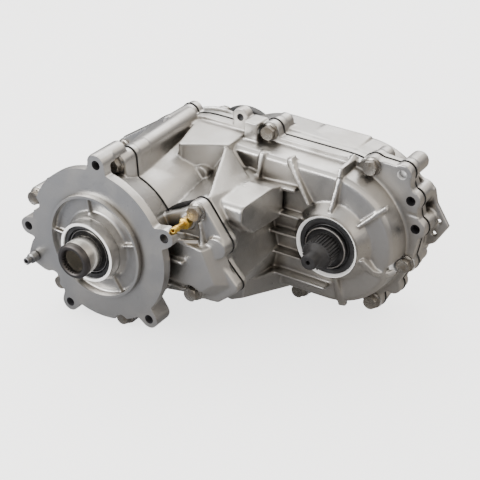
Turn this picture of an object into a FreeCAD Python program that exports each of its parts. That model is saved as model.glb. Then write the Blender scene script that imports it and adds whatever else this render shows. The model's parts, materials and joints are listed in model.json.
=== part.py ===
import FreeCAD, Part
import math
import os

V = FreeCAD.Vector
os.makedirs("parts", exist_ok=True)

# Frame: the input axis and the rear output axis are the Y line through the origin.
# Y is 0 on the machined face of the input flange and grows towards the rear output.
# X grows towards the front output axis and Z is up. All sizes are millimetres.

# Planes along Y
pilot_height = 6.0
flange_thickness = 12.0
ear_depth = 25.0
vent_ear_depth = 12.0
top_ear_depth = 20.0
adapter_joint_y = 50.0
sealant_thickness = 0.6
chain_case_front_y = 150.0
case_flange_front_y = 180.0
case_joint_y = 190.0
rear_case_depth = 66.0
tail_depth = 36.0
case_wall = 6.0

# Input flange
pilot_radius = 60.0
pilot_lip = 3.0
pocket_depth = 9.0
flange_radius = 88.5
ear_radius = 10.5
ear_hole_radius = 5.25
ear_hole_circle = 96.5
ear_angles = (22.6, 87.4, 183.3, 243.8, 313.9)
ear_depths = (vent_ear_depth, top_ear_depth, ear_depth, ear_depth, ear_depth)
stud_circle = 98.0
stud_angle = 205.0
stud_radius = 5.0
stud_tip_radius = 3.4
stud_reach = 17.0
stud_seat_y = 14.0
pocket_rib_width = 3.0
pocket_rib_angles = (17.0, 100.0, 178.0, 241.0, 303.0)
hub_radius = 35.0
hub_base_radius = 42.0
notch_radius = 9.0

# Main tube of the casting round the input axis
tube_radius = 70.0
tube_bore = 63.0

# Front output axis: two equal sprockets joined by a silent chain
chain_pitch = 9.525
sprocket_teeth = 33
chain_gap_links = 43
chain_width = 30.0
chain_thickness = 8.0
sprocket_width = 32.0
sprocket_rim_radius = 41.0
sprocket_hub_radius = 30.0
sprocket_front_y = 168.0
front_axis_x = chain_pitch * chain_gap_links / 2.0
sprocket_pitch_radius = chain_pitch / (2.0 * math.sin(math.pi / sprocket_teeth))

# Chain case
case_radius = 82.0
main_round_radius = 75.0
crown_x = 30.0
case_draft = 3.0
brow = 4.0
case_flange_rim = 7.0
front_side_radius = 80.0
front_side_inset = 8.0
front_round_x = front_axis_x - front_side_inset
bolt_boss_radius = 11.0
drum_x = 100.0
drum_rise = 9.0
drum_draft = 3.0

# Front output boss
boss_face_y = 133.0
boss_radius = 36.2
boss_base_radius = 47.0
stub_radius = 17.0
stub_nose_radius = 9.0
stub_nose_y = 94.0
stub_spline_end_y = 112.0

# Bolts, M10 with a flanged hex head
bolt_shank_radius = 5.0
bolt_hole_radius = 5.4
bolt_flange_radius = 10.0
bolt_flange_height = 2.5
bolt_hex_flats = 15.0
bolt_head_height = 9.0
bolt_engagement = 20.0
bolt_seat_radius = bolt_flange_radius + 0.6
seat_wall = 3.5

# Bearings: bore radius, outer radius, width
input_bearing = (22.5, 42.5, 19.0)
output_bearing = (20.0, 40.0, 18.0)
front_bearing = (17.5, 36.0, 17.0)
front_tail_bearing = (15.0, 31.0, 16.0)
race_share = 0.3
bearing_gap = 0.4
input_bearing_y = 14.0
output_bearing_y = 238.0
front_bearing_y = 146.0
front_tail_bearing_y = 212.0
snap_ring_thickness = 2.0
snap_ring_depth = 2.0

# Shafts
input_nose_y = -42.0
input_radius = 19.8
input_socket_radius = 12.5
input_socket_depth = 52.0
input_socket_teeth = 27
spline_height = 1.5
mainshaft_radius = 19.0
mainshaft_journal_radius = 21.0
pilot_journal_radius = 14.0
dog_teeth = 32
running_gap = 0.06
spline_gap = 0.12
side_gap = 0.3

# Planetary set
gear_module = 2.0
sun_teeth = 33
ring_teeth = 55
planet_count = 4
sun_front_y = 40.0
gear_width = 18.0
ring_outer_radius = 62.5
planet_teeth = (ring_teeth - sun_teeth) // 2
planet_orbit = gear_module * (sun_teeth + planet_teeth) / 2.0
planet_pin_radius = 4.0
tooth_slack = 0.7
sun_addendum = 1.3
planet_addendum = 1.4
ring_addendum = 1.5
gear_dedendum = 2.2

# Shift parts
range_travel = 9.0
mode_travel = 9.0
rail_x = 104.0
rail_z = -8.0
rail_radius = 8.0
cam_z = 30.0
cam_radius = 12.0
cam_shaft_radius = 7.0
cam_groove_depth = 3.5
cam_groove_margin = 26.0
cam_pin_radius = 2.6
cam_sweep = 60.0
fork_thickness = 5.4
groove_width = 6.0

# Rear output
rear_flange_radius = 50.0
rear_flange_y = 298.0
rear_flange_thickness = 10.0
rear_pcd = 78.0
rear_holes = 4
rear_hole_radius = 5.25
rear_hub_radius = 21.0
tail_seal_radius = 30.0

# Seals
input_seal_radius = 31.0
front_seal_radius = 32.8
seal_width = 9.0


# Small helpers. An outline lies in the XZ plane and is pushed along Y.

def rod(radius, y0, y1, x=0.0, z=0.0):
    return Part.makeCylinder(radius, y1 - y0, V(x, y0, z), V(0, 1, 0))


def taper(r0, r1, y0, y1, x=0.0, z=0.0):
    return Part.makeCone(r0, r1, y1 - y0, V(x, y0, z), V(0, 1, 0))


def pipe(outer, inner, y0, y1, x=0.0, z=0.0):
    return rod(outer, y0, y1, x, z).cut(rod(inner, y0 - 1.0, y1 + 1.0, x, z))


def prism(points, y0, y1):
    corners = [V(x, y0, z) for x, z in points]
    face = Part.Face(Part.makePolygon(corners + corners[:1]))
    return face.extrude(V(0, y1 - y0, 0))


def plan(points, z0, z1):
    corners = [V(x, y, z0) for x, y in points]
    face = Part.Face(Part.makePolygon(corners + corners[:1]))
    return face.extrude(V(0, 0, z1 - z0))


def block(x0, x1, y0, y1, z0, z1):
    return Part.makeBox(x1 - x0, y1 - y0, z1 - z0, V(x0, y0, z0))


def polar(radius, degrees):
    a = math.radians(degrees)
    return radius * math.cos(a), radius * math.sin(a)


def capsule_wire(a, b, y0):
    """Outline round two circles (x, z, radius) with straight tangent sides."""
    (xa, za, ra), (xb, zb, rb) = a, b
    gap = math.hypot(xb - xa, zb - za)
    base = math.atan2(zb - za, xb - xa)
    lean = math.acos((ra - rb) / gap)
    ends = []
    for sign in (1, -1):
        t = base + sign * lean
        ends.append((V(xa + ra * math.cos(t), y0, za + ra * math.sin(t)),
                     V(xb + rb * math.cos(t), y0, zb + rb * math.sin(t))))
    (a1, b1), (a2, b2) = ends
    far_a = V(xa - ra * math.cos(base), y0, za - ra * math.sin(base))
    far_b = V(xb + rb * math.cos(base), y0, zb + rb * math.sin(base))
    edges = [Part.makeLine(a1, b1), Part.Arc(b1, far_b, b2).toShape(),
             Part.makeLine(b2, a2), Part.Arc(a2, far_a, a1).toShape()]
    return Part.Wire(edges)


def capsule(a, b, y0, y1):
    return Part.Face(capsule_wire(a, b, y0)).extrude(V(0, y1 - y0, 0))


def drafted(a0, b0, a1, b1, y0, y1):
    """Capsule whose two circles change radius from y0 to y1: cones joined by straight sides."""
    corners = []
    for (xa, za, ra), (xb, zb, rb), y in ((a0, b0, y0), (a1, b1, y1)):
        lean = math.acos((ra - rb) / (xb - xa))
        for sign in (1, -1):
            cx, cz = math.cos(lean), sign * math.sin(lean)
            corners.append(((xa + ra * cx, y, za + ra * cz), (xb + rb * cx, y, zb + rb * cz)))
    (p0, q0), (r0, s0), (p1, q1), (r1, s1) = corners
    bridge = poly([(p0, q0, s0, r0), (p1, r1, s1, q1), (p0, r0, r1, p1), (q0, q1, s1, s0),
                   (p0, p1, q1), (p0, q1, q0), (r0, s0, s1), (r0, s1, r1)])
    ends = [taper(a0[2], a1[2], y0, y1, a0[0], a0[1]), taper(b0[2], b1[2], y0, y1, b0[0], b0[1])]
    return joined([bridge] + ends)


def joined(solids):
    whole = solids[0]
    if len(solids) > 1:
        whole = whole.multiFuse(solids[1:])
    return whole.removeSplitter()


def poly(points3):
    """Closed solid from triangular or flat faces given as corner lists."""
    faces = [Part.Face(Part.makePolygon([V(*p) for p in face] + [V(*face[0])])) for face in points3]
    solid = Part.Solid(Part.makeShell(faces))
    if solid.Volume < 0:
        solid.reverse()
    return solid


def wedge(apex, left, right, depth):
    """Triangular web: a face on three corners with thickness along +Y and -X."""
    back = [(x - depth, y + depth, z) for x, y, z in (apex, left, right)]
    a, b, c = apex, left, right
    d, e, f = back
    return poly([(a, b, c), (d, f, e), (a, d, e), (a, e, b), (b, e, f), (b, f, c), (c, f, d), (c, d, a)])


def rib(p, q, width, y0, y1):
    """Straight rib between two XZ points, standing from y0 to y1."""
    dx, dz = q[0] - p[0], q[1] - p[1]
    n = math.hypot(dx, dz)
    ox, oz = -dz / n * width / 2.0, dx / n * width / 2.0
    return prism([(p[0] + ox, p[1] + oz), (q[0] + ox, q[1] + oz),
                  (q[0] - ox, q[1] - oz), (p[0] - ox, p[1] - oz)], y0, y1)


def sloped_rib(p, q, width_p, width_q, yp, yq, y1):
    """Rib whose width and front edge change from width_p and yp at p to width_q and yq at q."""
    dx, dz = q[0] - p[0], q[1] - p[1]
    n = math.hypot(dx, dz)
    ends = []
    for (x, z), width, y in ((p, width_p, yp), (q, width_q, yq)):
        ox, oz = -dz / n * width / 2.0, dx / n * width / 2.0
        ends.append([(x + ox, y, z + oz), (x - ox, y, z - oz), (x - ox, y1, z - oz), (x + ox, y1, z + oz)])
    (a, b, c, d), (e, f, g, h) = ends
    return poly([(a, b, c, d), (e, h, g, f), (a, e, f, b), (b, f, g, c), (c, g, h, d), (d, h, e, a)])


def teeth_solid(count, root, mid, tip, mid_half, y0, y1, phase=0.0, slope=0.36, inner=None, x=0.0, z=0.0):
    """Toothed disc or ring. mid_half is half a tooth's width at radius mid, slope its flank."""
    pts = []
    for i in range(count):
        a = math.radians(phase) + 2.0 * math.pi * i / count
        for r, sign in ((root, -1), (tip, -1), (tip, 1), (root, 1)):
            half = (mid_half - (r - mid) * slope) / r
            pts.append((x + r * math.cos(a + sign * half), z + r * math.sin(a + sign * half)))
    solid = prism(pts, y0, y1)
    if inner:
        solid = solid.cut(rod(inner, y0 - 1, y1 + 1, x, z))
    return solid


def hex_head(x, z, y0, flats, height):
    """Hexagon whose head stands towards -Y from y0."""
    r = flats / math.sqrt(3.0)
    pts = [(x + r * math.cos(math.radians(60 * k + 15)), z + r * math.sin(math.radians(60 * k + 15)))
           for k in range(6)]
    head = prism(pts, y0 - height, y0)
    return head


def flange_bolt(x, z, seat_y, length):
    flange = taper(bolt_flange_radius - 1.5, bolt_flange_radius, seat_y - bolt_flange_height, seat_y, x, z)
    head = hex_head(x, z, seat_y - bolt_flange_height + 0.5, bolt_hex_flats,
                    bolt_head_height - bolt_flange_height + 0.5)
    return joined([flange, head, rod(bolt_shank_radius, seat_y - 0.5, seat_y + length, x, z)])


# Places worked out once and shared by every piece that meets there

ear_centres = [polar(ear_hole_circle, a) for a in ear_angles]
stud_centre = polar(stud_circle, stud_angle)
pipe_centre = (8.0, 88.0)
pipe_end = (-2.0, 84.0)
top_boss = (-7.5, 83.0)
top_boss_front_y = 147.0
lobe_top = (104.0, 56.0)
lobe_low = (104.0, -38.0)
left_low = (-70.0, -79.0)
left_high = (-101.0, 20.0)
bottom = (18.0, -95.0)
# x, z, seat plane of each adapter bolt
adapter_bolts = [(pipe_centre[0], pipe_centre[1], 30.0), (lobe_top[0], lobe_top[1], 38.0),
                 (lobe_low[0], lobe_low[1], 32.0), (bottom[0], bottom[1], 24.0),
                 (left_low[0], left_low[1], 24.0), (left_high[0], left_high[1], 24.0)]
lobe_knuckle = (129.0, 21.0)
lobe_waist = (119.5, 2.0)
lobe_corner = (147.0, -22.0)
lobe_foot = (126.0, -38.0)
case_front_y = adapter_joint_y + sealant_thickness
rear_front_y = case_joint_y + sealant_thickness
rear_back_y = rear_front_y + rear_case_depth
tail_front_y = rear_back_y + sealant_thickness
tail_back_y = tail_front_y + tail_depth
case_bolts = [(105.0, 92.0), (front_axis_x + 25.0, 84.0), (front_axis_x + 72.5, -19.0),
              (front_axis_x + 38.0, -78.0), (152.0, -95.0), (60.0, -95.0), (-38.0, -86.0)]
side_bolt = (-98.0, 19.0)
case_bolts.append(side_bolt)
lug_blind = (front_axis_x + 59.0, 83.0)
lug_high = (front_axis_x + 71.5, 56.0)
lug_low = (front_axis_x + 79.5, 25.0)
lug_hole_radius = 5.4
lug_radius = 11.5
lug_waist = 4.0
tail_bolt_circle = 55.0
tail_bolt_angles = (30.0, 102.0, 174.0, 246.0, 318.0)
tail_bolts = [polar(tail_bolt_circle, a) for a in tail_bolt_angles]
tail_bolt_radius = 4.0
sensor_angle = 215.0
sensor_y = 277.0
magnet_x = 107.0
magnet_length = 30.0
magnet_depth = 7.0
magnet_height = 6.6
magnet_seat_rise = 6.0
magnet_floor = case_radius + (front_side_radius - case_radius) * (magnet_x - crown_x) / (front_round_x - crown_x)
magnet_seat_z = case_wall + magnet_seat_rise - magnet_floor
magnet_front_y = rear_front_y + 5.0
eye_centre = (66.0, 99.0)
eye_radius = 10.5
eye_hole_radius = 4.4
dowel_radius = 5.0
dowel_boss_radius = 10.0
dowel_places = [top_boss, (front_axis_x + 60.0, -52.0)]
dowel_half_length = 8.0
vent_place = (94.5, 42.5)
vent_seat_y = 34.0
vent_thread_radius = 4.0
vent_thread_length = 8.0
vent_passage_radius = 1.7
vent_boss_radius = 8.5
vent_lean = 12.0
vent_lean_side = 54.0
pad_x = 143.0
cavity_lobe = [(40.0, 44.0), (72.0, 32.0), (92.0, 46.0), (110.0, 46.0), (118.5, 38.0), (121.0, 20.0),
               (128.0, -14.0), (118.0, -34.0), (84.0, -48.0), (40.0, -48.0)]


def lobe_edge(y0, y1, grow=0.0):
    """Body of the lobe beside the main tube, as it stands at the adapter joint."""
    top = (lobe_top[0], lobe_top[1], bolt_boss_radius + grow)
    knuckle = (lobe_knuckle[0], lobe_knuckle[1], 12.0 + grow)
    corner = (lobe_corner[0], lobe_corner[1], 7.0 + grow)
    foot = (lobe_foot[0], lobe_foot[1], 9.0 + grow)
    low = (lobe_low[0], lobe_low[1], bolt_boss_radius + grow)
    waist = (lobe_waist[0], lobe_waist[1], 10.0 + grow)
    core = prism([(45.0, 34.0), (62.0, 38.0), (97.0, 60.0), (110.0, 56.0), (124.0, 22.0), (124.0, 4.0),
                  (144.0, -22.0), (126.0, -44.0), (100.0, -46.0), (45.0, -56.0)], y0, y1)
    return [capsule(top, knuckle, y0, y1), capsule(waist, corner, y0, y1),
            capsule(corner, foot, y0, y1), capsule(foot, low, y0, y1), core]


def joint_outline(y0, y1, tube=tube_radius):
    """Everything that both sides of the adapter joint share."""
    solids = [rod(tube, y0, y1)] + lobe_edge(y0, y1)
    for x, z, seat in adapter_bolts:
        if (x, z) in (lobe_top, lobe_low):
            continue
        reach = math.hypot(x, z)
        inner = (x / reach * 58.0, z / reach * 58.0, 16.0)
        solids.append(capsule((x, z, bolt_boss_radius), inner, y0, y1))
    return solids


def leaned(shape):
    """Move a shape drawn about the Y axis, its seat at Y 0, to the leaning breather seat."""
    side = math.radians(vent_lean_side)
    shape.rotate(V(0, 0, 0), V(-math.sin(side), 0, math.cos(side)), vent_lean)
    shape.translate(V(vent_place[0], vent_seat_y, vent_place[1]))
    return shape


def shaft_bores(solid, y0, y1, places, radius):
    return solid.cut(Part.makeCompound([rod(radius, y0, y1, x, z) for x, z in places]))


# Castings

def input_housing():
    plate = [rod(flange_radius, 0.0, flange_thickness)]
    for (x, z), depth in zip(ear_centres, ear_depths):
        reach = math.hypot(x, z)
        inner = (x / reach * 76.0, z / reach * 76.0, 14.0)
        plate.append(capsule((x, z, ear_radius), inner, 0.0, depth))
    sx, sz = stud_centre
    plate.append(capsule((sx, sz, 9.5), (sx * 0.82, sz * 0.82, 22.0), 0.0, ear_depth - 7.0))
    body = joined(plate)
    for angle, reach in ((163.0, 91.0), (289.0, 92.0), (224.0, 90.0)):
        nx, nz = polar(reach, angle)
        body = body.cut(rod(notch_radius, -1.0, ear_depth + 1.0, nx, nz))
    tube = rod(tube_radius, 2.0, adapter_joint_y)
    rear_plate = []
    for x, z, seat in adapter_bolts:
        if (x, z) in (lobe_top, lobe_low):
            continue
        reach = math.hypot(x, z)
        inner = (x / reach * 58.0, z / reach * 58.0, 16.0)
        rear_plate.append(capsule((x, z, bolt_boss_radius), inner, seat, adapter_joint_y))
    stiffeners = [rib(polar(60.0, a), polar(84.0, a), 5.0, 4.0, adapter_joint_y - 12.0)
                  for a in (196.0, 212.0, 262.0, 278.0, 330.0)]
    shell = taper(flange_radius - 3.0, tube_radius + 0.5, flange_thickness - 2.0, adapter_joint_y - 3.0)
    sector = [(0.0, 0.0)] + [polar(flange_radius + 40.0, a) for a in (24.0, 70.0, 125.0, 176.0)]
    stiffeners.append(shell.common(prism(sector, 0.0, adapter_joint_y)))
    lobe = lobe_edge(38.0, adapter_joint_y)
    lobe.append(rod(bolt_boss_radius, 32.0, adapter_joint_y, lobe_low[0], lobe_low[1]))
    lobe.append(rod(12.0, 34.0, adapter_joint_y, lobe_knuckle[0], lobe_knuckle[1]))
    lobe.append(leaned(rod(vent_boss_radius, 0.0, 12.0)))
    lobe.append(sloped_rib((107.0, 48.0), (114.0, 22.0), 3.0, 5.0, 36.0, 30.0, adapter_joint_y - 2.0))
    shelf = plan([(58.0, 10.0), (86.0, 20.0), (132.0, 46.0), (132.0, adapter_joint_y),
                  (58.0, adapter_joint_y)], 22.0, 25.5)
    gusset = prism([(62.0, 24.0), (88.0, 24.0), (97.0, 58.0), (62.0, 40.0)], 36.0, adapter_joint_y)
    low_front = [(66.0, 20.0), (100.0, 22.0), (118.0, 20.0), (134.0, -16.0), (118.0, -30.0), (66.0, -24.0)]
    low_back = [(62.0, 23.0), (104.0, 24.0), (131.0, 24.0), (150.0, -22.0), (128.0, -44.0), (62.0, -50.0)]
    front_wire = Part.makePolygon([V(x, 24.0, z) for x, z in low_front + low_front[:1]])
    back_wire = Part.makePolygon([V(x, 46.0, z) for x, z in low_back + low_back[:1]])
    low_box = Part.makeLoft([front_wire, back_wire], True, True)
    web = rib((60.0, -36.0), (98.0, -40.0), 4.0, 30.0, adapter_joint_y)
    web_high = rib((60.0, 2.0), (100.0, 2.0), 4.0, 16.0, adapter_joint_y)
    body = joined([body, tube, low_box, shelf, gusset, web, web_high] + rear_plate + stiffeners + lobe)
    # machined register and the deep ribbed pocket inside it
    body = body.fuse(rod(pilot_radius, -pilot_height, 1.0))
    well = rod(pilot_radius - pilot_lip, -pilot_height - 1.0, pocket_depth)
    well = well.cut(taper(hub_radius, hub_base_radius, -pilot_height - 2.0, pocket_depth + 1.0))
    for a in pocket_rib_angles:
        well = well.cut(rib(polar(30.0, a), polar(pilot_radius, a), pocket_rib_width, -2.0, pocket_depth + 1.0))
    body = body.cut(well)
    bores = [rod(input_seal_radius, -pilot_height - 1.0, seal_width - 3.0),
             rod(26.0, 0.0, input_bearing_y + 1.0),
             rod(input_bearing[1], input_bearing_y, 37.0),
             rod(input_bearing[1] + snap_ring_depth, input_bearing_y + input_bearing[2],
                 input_bearing_y + input_bearing[2] + snap_ring_thickness),
             rod(ring_outer_radius, sun_front_y - 4.0, adapter_joint_y + 1.0),
             prism([(50.0, 20.0), (72.0, 18.0), (102.0, 17.0), (116.0, 12.0), (127.0, -16.0),
                    (114.0, -24.0), (50.0, -24.0)], 34.0, adapter_joint_y + 1.0)]
    for bore in bores:
        body = body.cut(bore)
    body = body.fuse(rod(rail_radius + 5.0, 33.0, adapter_joint_y - 1.0, rail_x, rail_z))
    body = body.cut(rod(rail_radius + running_gap, 38.0, adapter_joint_y + 1.0, rail_x, rail_z))
    body = shaft_bores(body, -1.0, ear_depth + 1.0, ear_centres, ear_hole_radius)
    body = shaft_bores(body, -1.0, stud_seat_y, [stud_centre], stud_radius)
    body = shaft_bores(body, 20.0, adapter_joint_y + 1.0, [(x, z) for x, z, s in adapter_bolts],
                       bolt_hole_radius)
    body = body.cut(leaned(rod(vent_thread_radius, -1.0, vent_thread_length)))
    body = body.cut(leaned(rod(vent_passage_radius, 0.0, 24.0)))
    body = body.cut(leaned(rod(vent_thread_radius + 0.8, -vent_seat_y + 2.0, -8.0)))
    for x, z, seat in adapter_bolts:
        body = body.cut(rod(bolt_flange_radius + 1.0, max(seat - 22.0, flange_thickness), seat, x, z).cut(
            rod(tube_radius + 1.0, seat - 30.0, seat + 1.0)))
    return body.removeSplitter()


def case_outline(grow, y0, y1):
    """Outline of the chain case: the straight band beside the round of the main axis."""
    return [capsule((crown_x, 0.0, case_radius + grow), (front_round_x, 0.0, front_side_radius + grow), y0, y1),
            rod(main_round_radius + grow, y0, y1)]


def lug_strip(y0, y1):
    """Strip of lugs at the right end of the case flange."""
    row = [case_bolts[1], lug_blind, lug_high, lug_low, case_bolts[2]]
    centre = (front_round_x, 0.0)
    solids = [prism(row + [centre], y0, y1)]
    for (xa, za), (xb, zb) in zip(row, row[1:]):
        solids.append(capsule((xa - lug_waist, za - 1.0, bolt_boss_radius - 1.0),
                              (xb - lug_waist, zb - 1.0, bolt_boss_radius - 1.2), y0, y1))
    return solids + [rod(lug_radius, y0, y1, x, z) for x, z in row[1:4]]


def flange_solids(y0, y1):
    solids = case_outline(case_flange_rim, y0, y1) + lug_strip(y0, y1)
    bosses = [(x, z, bolt_boss_radius) for x, z in case_bolts + [top_boss]]
    bosses += [(x, z, dowel_boss_radius) for x, z in dowel_places]
    for x, z, radius in bosses:
        centre_x = 0.0 if x < 60 else min(x, front_axis_x)
        dx, dz = x - centre_x, z
        n = math.hypot(dx, dz)
        solids.append(capsule((x, z, radius), (x - dx / n * 24.0, z - dz / n * 24.0, 17.0), y0, y1))
    solids.append(capsule((side_bolt[0], side_bolt[1], bolt_boss_radius),
                          (0.0, 0.0, main_round_radius + case_flange_rim - 1.0), y0, y1))
    return solids


def drafted_case(grow, y0, y1, shrink):
    """Chain case outline, smaller by shrink at y0."""
    small = grow - shrink
    band = drafted((crown_x, 0.0, case_radius + small), (front_round_x, 0.0, front_side_radius + small),
                   (crown_x, 0.0, case_radius + grow), (front_round_x, 0.0, front_side_radius + grow), y0, y1)
    return joined([band, taper(main_round_radius + small, main_round_radius + grow, y0, y1)])


def soften(solid, radius, pick):
    """Round the edges that pick accepts."""
    edges = [e for e in solid.Edges if pick(e)]
    return solid.makeFillet(radius, edges)


def front_case():
    brow_y = chain_case_front_y + brow
    solids = [drafted_case(0.0, brow_y, case_flange_front_y + 2.0, case_draft - 0.6),
              drafted_case(-case_draft + 0.6, chain_case_front_y, brow_y, brow)]
    solids += flange_solids(case_flange_front_y, case_joint_y)
    solids += joint_outline(case_front_y, case_front_y + 8.0)
    solids.append(rod(tube_radius, case_front_y, case_flange_front_y))
    solids.append(taper(tube_radius - 4.0, main_round_radius + 2.0, case_front_y, case_flange_front_y + 1.0, -3.0, 3.0))
    for x, z, seat in adapter_bolts:
        solids.append(rod(bolt_boss_radius - 1.0, case_front_y, case_front_y + bolt_engagement + 8.0, x, z))
    # long half-round boss from the top adapter bolt to the case flange, and the plain boss beside its end
    front_end = capsule_wire((pipe_centre[0], pipe_centre[1], 10.5), (6.0, 58.0, 16.0), case_front_y)
    back_end = capsule_wire((pipe_end[0], pipe_end[1], 10.5), (0.0, 56.0, 16.0), case_flange_front_y + 1.0)
    solids.append(Part.makeLoft([front_end, back_end], True, True))
    solids.append(rod(bolt_boss_radius, top_boss_front_y, case_joint_y, top_boss[0], top_boss[1]))
    # stepped front wall beside the tube
    solids.append(plan([(8.0, case_flange_front_y), (27.0, 115.0), (32.0, 114.0), (76.0, 141.0),
                        (76.0, case_flange_front_y)], 30.0, case_radius + 1.0))
    # shift housing: the lobe carried back to the front wall
    front_wire = Part.makePolygon([V(x, case_front_y, z) for x, z in
                                   [(60.0, 36.0), (97.0, 60.0), (113.0, 56.0), (126.0, 42.0), (130.0, 10.0),
                                    (146.0, -24.0), (128.0, -44.0), (96.0, -48.0), (50.0, -58.0), (60.0, 36.0)]])
    back_wire = Part.makePolygon([V(x, chain_case_front_y + 4.0, z) for x, z in
                                  [(56.0, 50.0), (98.0, 58.0), (113.0, 54.0), (122.0, 40.0), (128.0, 10.0),
                                   (136.0, -30.0), (128.0, -70.0), (100.0, -80.0), (46.0, -80.0), (56.0, 50.0)]])
    solids.append(Part.makeLoft([front_wire, back_wire], True, True))
    # sector pad: a rounded block with a flat face towards the front output
    pad_side = [(62.0, 60.0), (121.0, 58.0), (146.0, 50.0), (146.0, 14.0), (84.0, 20.0), (60.0, 42.0)]
    corners = [V(112.0, y, z) for y, z in pad_side]
    pad = Part.Face(Part.makePolygon(corners + corners[:1])).extrude(V(pad_x - 112.0, 0, 0))
    pad = soften(pad, 7.0, lambda e: abs(e.BoundBox.XLength - (pad_x - 112.0)) < 1e-3)
    solids.append(pad)
    # triangular web between the stepped wall and the sector pad
    solids.append(wedge((71.0, 148.0, 82.0), (76.0, 104.0, 38.0), (101.0, 149.0, 45.0), 12.0))
    # lower body and sump
    sump_front = [(52.0, -46.0), (100.0, -50.0), (130.0, -48.0), (128.0, -70.0), (112.0, -78.0), (60.0, -72.0)]
    sump_back = [(46.0, -60.0), (100.0, -60.0), (150.0, -60.0), (146.0, -92.0), (112.0, -100.0), (52.0, -92.0)]
    sump = Part.makeLoft([Part.makePolygon([V(x, 92.0, z) for x, z in sump_front + sump_front[:1]]),
                          Part.makePolygon([V(x, case_flange_front_y, z) for x, z in sump_back + sump_back[:1]])],
                         True, True)
    solids.append(sump)
    # front output boss
    solids.append(rod(boss_radius, boss_face_y, chain_case_front_y + 4.0, front_axis_x))
    solids.append(taper(boss_radius + 1.0, boss_base_radius, boss_face_y + 5.0, chain_case_front_y + 2.0,
                        front_axis_x))
    # cast ribs of the front wall
    wall = chain_case_front_y + 3.0
    for z, x0, x1 in ((20.0, 122.0, 168.0), (-4.0, 134.0, 166.0), (-29.0, 126.0, 172.0), (-56.0, 140.0, 204.0)):
        solids.append(rib((x0, z), (x1, z), 3.0, chain_case_front_y - 13.0, wall))
    solids.append(rib((98.0, 46.0), (160.0, 50.0), 5.0, chain_case_front_y - 10.0, wall))
    top, step = chain_case_front_y - 1.0, chain_case_front_y - 10.0
    # each rib: outer end, inner end, widths, front edge at both ends
    for p, q, wp, wq, yp, yq in (
            ((113.0, 80.0), (111.0, 48.0), 7.0, 4.0, top, step + 1.0),
            ((146.0, 82.0), (177.0, 38.0), 8.0, 4.0, top, step - 1.0),
            ((208.0, 82.0), (204.0, 40.0), 5.0, 5.0, top + 2.0, step - 2.0),
            ((front_axis_x + 57.0, 55.0), (front_axis_x + 31.0, 30.0), 5.0, 4.0, top + 4.0, step),
            ((front_axis_x + 70.0, -30.0), (front_axis_x + 34.0, -16.0), 9.0, 6.0, top + 12.0, step + 1.0),
            ((front_axis_x + 14.0, -80.0), (front_axis_x + 6.0, -34.0), 9.0, 5.0, top + 3.0, step)):
        solids.append(sloped_rib(p, q, wp, wq, yp, yq, wall + 6.0))
    # lifting eye and the square lug beside the top bolt
    ex, ez = eye_centre
    solids.append(rod(eye_radius, case_flange_front_y, case_joint_y, ex, ez))
    solids.append(block(ex - 9.0, ex + 9.0, case_flange_front_y, case_joint_y, 80.0, ez))
    solids.append(block(ex + 12.0, ex + 29.0, case_flange_front_y - 12.0, case_joint_y, 78.0, 102.0))
    solids.append(rod(8.5, 120.0, chain_case_front_y + 2.0, 52.0, 50.0))
    body = joined(solids)
    # seats for the flange bolts and the two lug holes
    cuts = []
    for x, z in case_bolts:
        cuts.append(rod(bolt_seat_radius, chain_case_front_y - 20.0, case_flange_front_y, x, z))
    for piece in cuts:
        body = body.cut(piece)
    # hollow inside
    room = drafted_case(-case_wall, chain_case_front_y + case_wall, case_joint_y + 1.0, case_draft)
    for x, z in case_bolts:
        room = room.cut(rod(bolt_seat_radius + seat_wall, chain_case_front_y, case_flange_front_y + seat_wall, x, z))
    body = body.cut(room)
    body = body.cut(rod(tube_bore, case_front_y - 1.0, chain_case_front_y + case_wall + 1.0))
    body = body.cut(prism(cavity_lobe, case_front_y - 1.0, chain_case_front_y + case_wall + 1.0))
    # front output bores
    body = body.fuse(pipe(front_bearing[1] + 6.0, front_bearing[1], front_bearing_y + 2.0,
                          front_bearing_y + front_bearing[2] + 3.0, front_axis_x))
    body = body.cut(rod(front_seal_radius, boss_face_y - 1.0, boss_face_y + seal_width + 1.0, front_axis_x))
    body = body.cut(rod(26.0, boss_face_y, front_bearing_y + 1.0, front_axis_x))
    body = body.cut(rod(front_bearing[1], front_bearing_y, 170.0, front_axis_x))
    body = body.cut(rod(front_bearing[1] + snap_ring_depth, front_bearing_y + front_bearing[2],
                        front_bearing_y + front_bearing[2] + snap_ring_thickness, front_axis_x))
    # fastener holes
    holes = [rod(bolt_shank_radius, case_front_y - 1.0, case_front_y + bolt_engagement + 6.0, x, z)
             for x, z, seat in adapter_bolts]
    holes += [rod(bolt_hole_radius, chain_case_front_y - 20.0, case_joint_y + 1.0, x, z) for x, z in case_bolts]
    holes += [rod(lug_hole_radius, case_flange_front_y - 1.0, case_joint_y + 1.0, x, z)
              for x, z in (lug_high, lug_low)]
    holes.append(rod(lug_hole_radius, case_flange_front_y - 1.0, case_flange_front_y + 6.0,
                     lug_blind[0], lug_blind[1]))
    holes.append(rod(eye_hole_radius, case_flange_front_y - 1.0, case_joint_y + 1.0, ex, ez))
    holes += [rod(dowel_radius, case_joint_y - dowel_half_length, case_joint_y + 1.0, x, z) for x, z in dowel_places]
    for hole in holes:
        body = body.cut(hole)
    groove_z = (lug_high[1] + lug_low[1]) / 2.0
    body = body.cut(block(front_axis_x + 69.0, front_axis_x + 100.0, case_flange_front_y - 1.0,
                          case_flange_front_y + 5.0, groove_z - 2.0, groove_z + 2.0))
    return body.removeSplitter()


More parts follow.
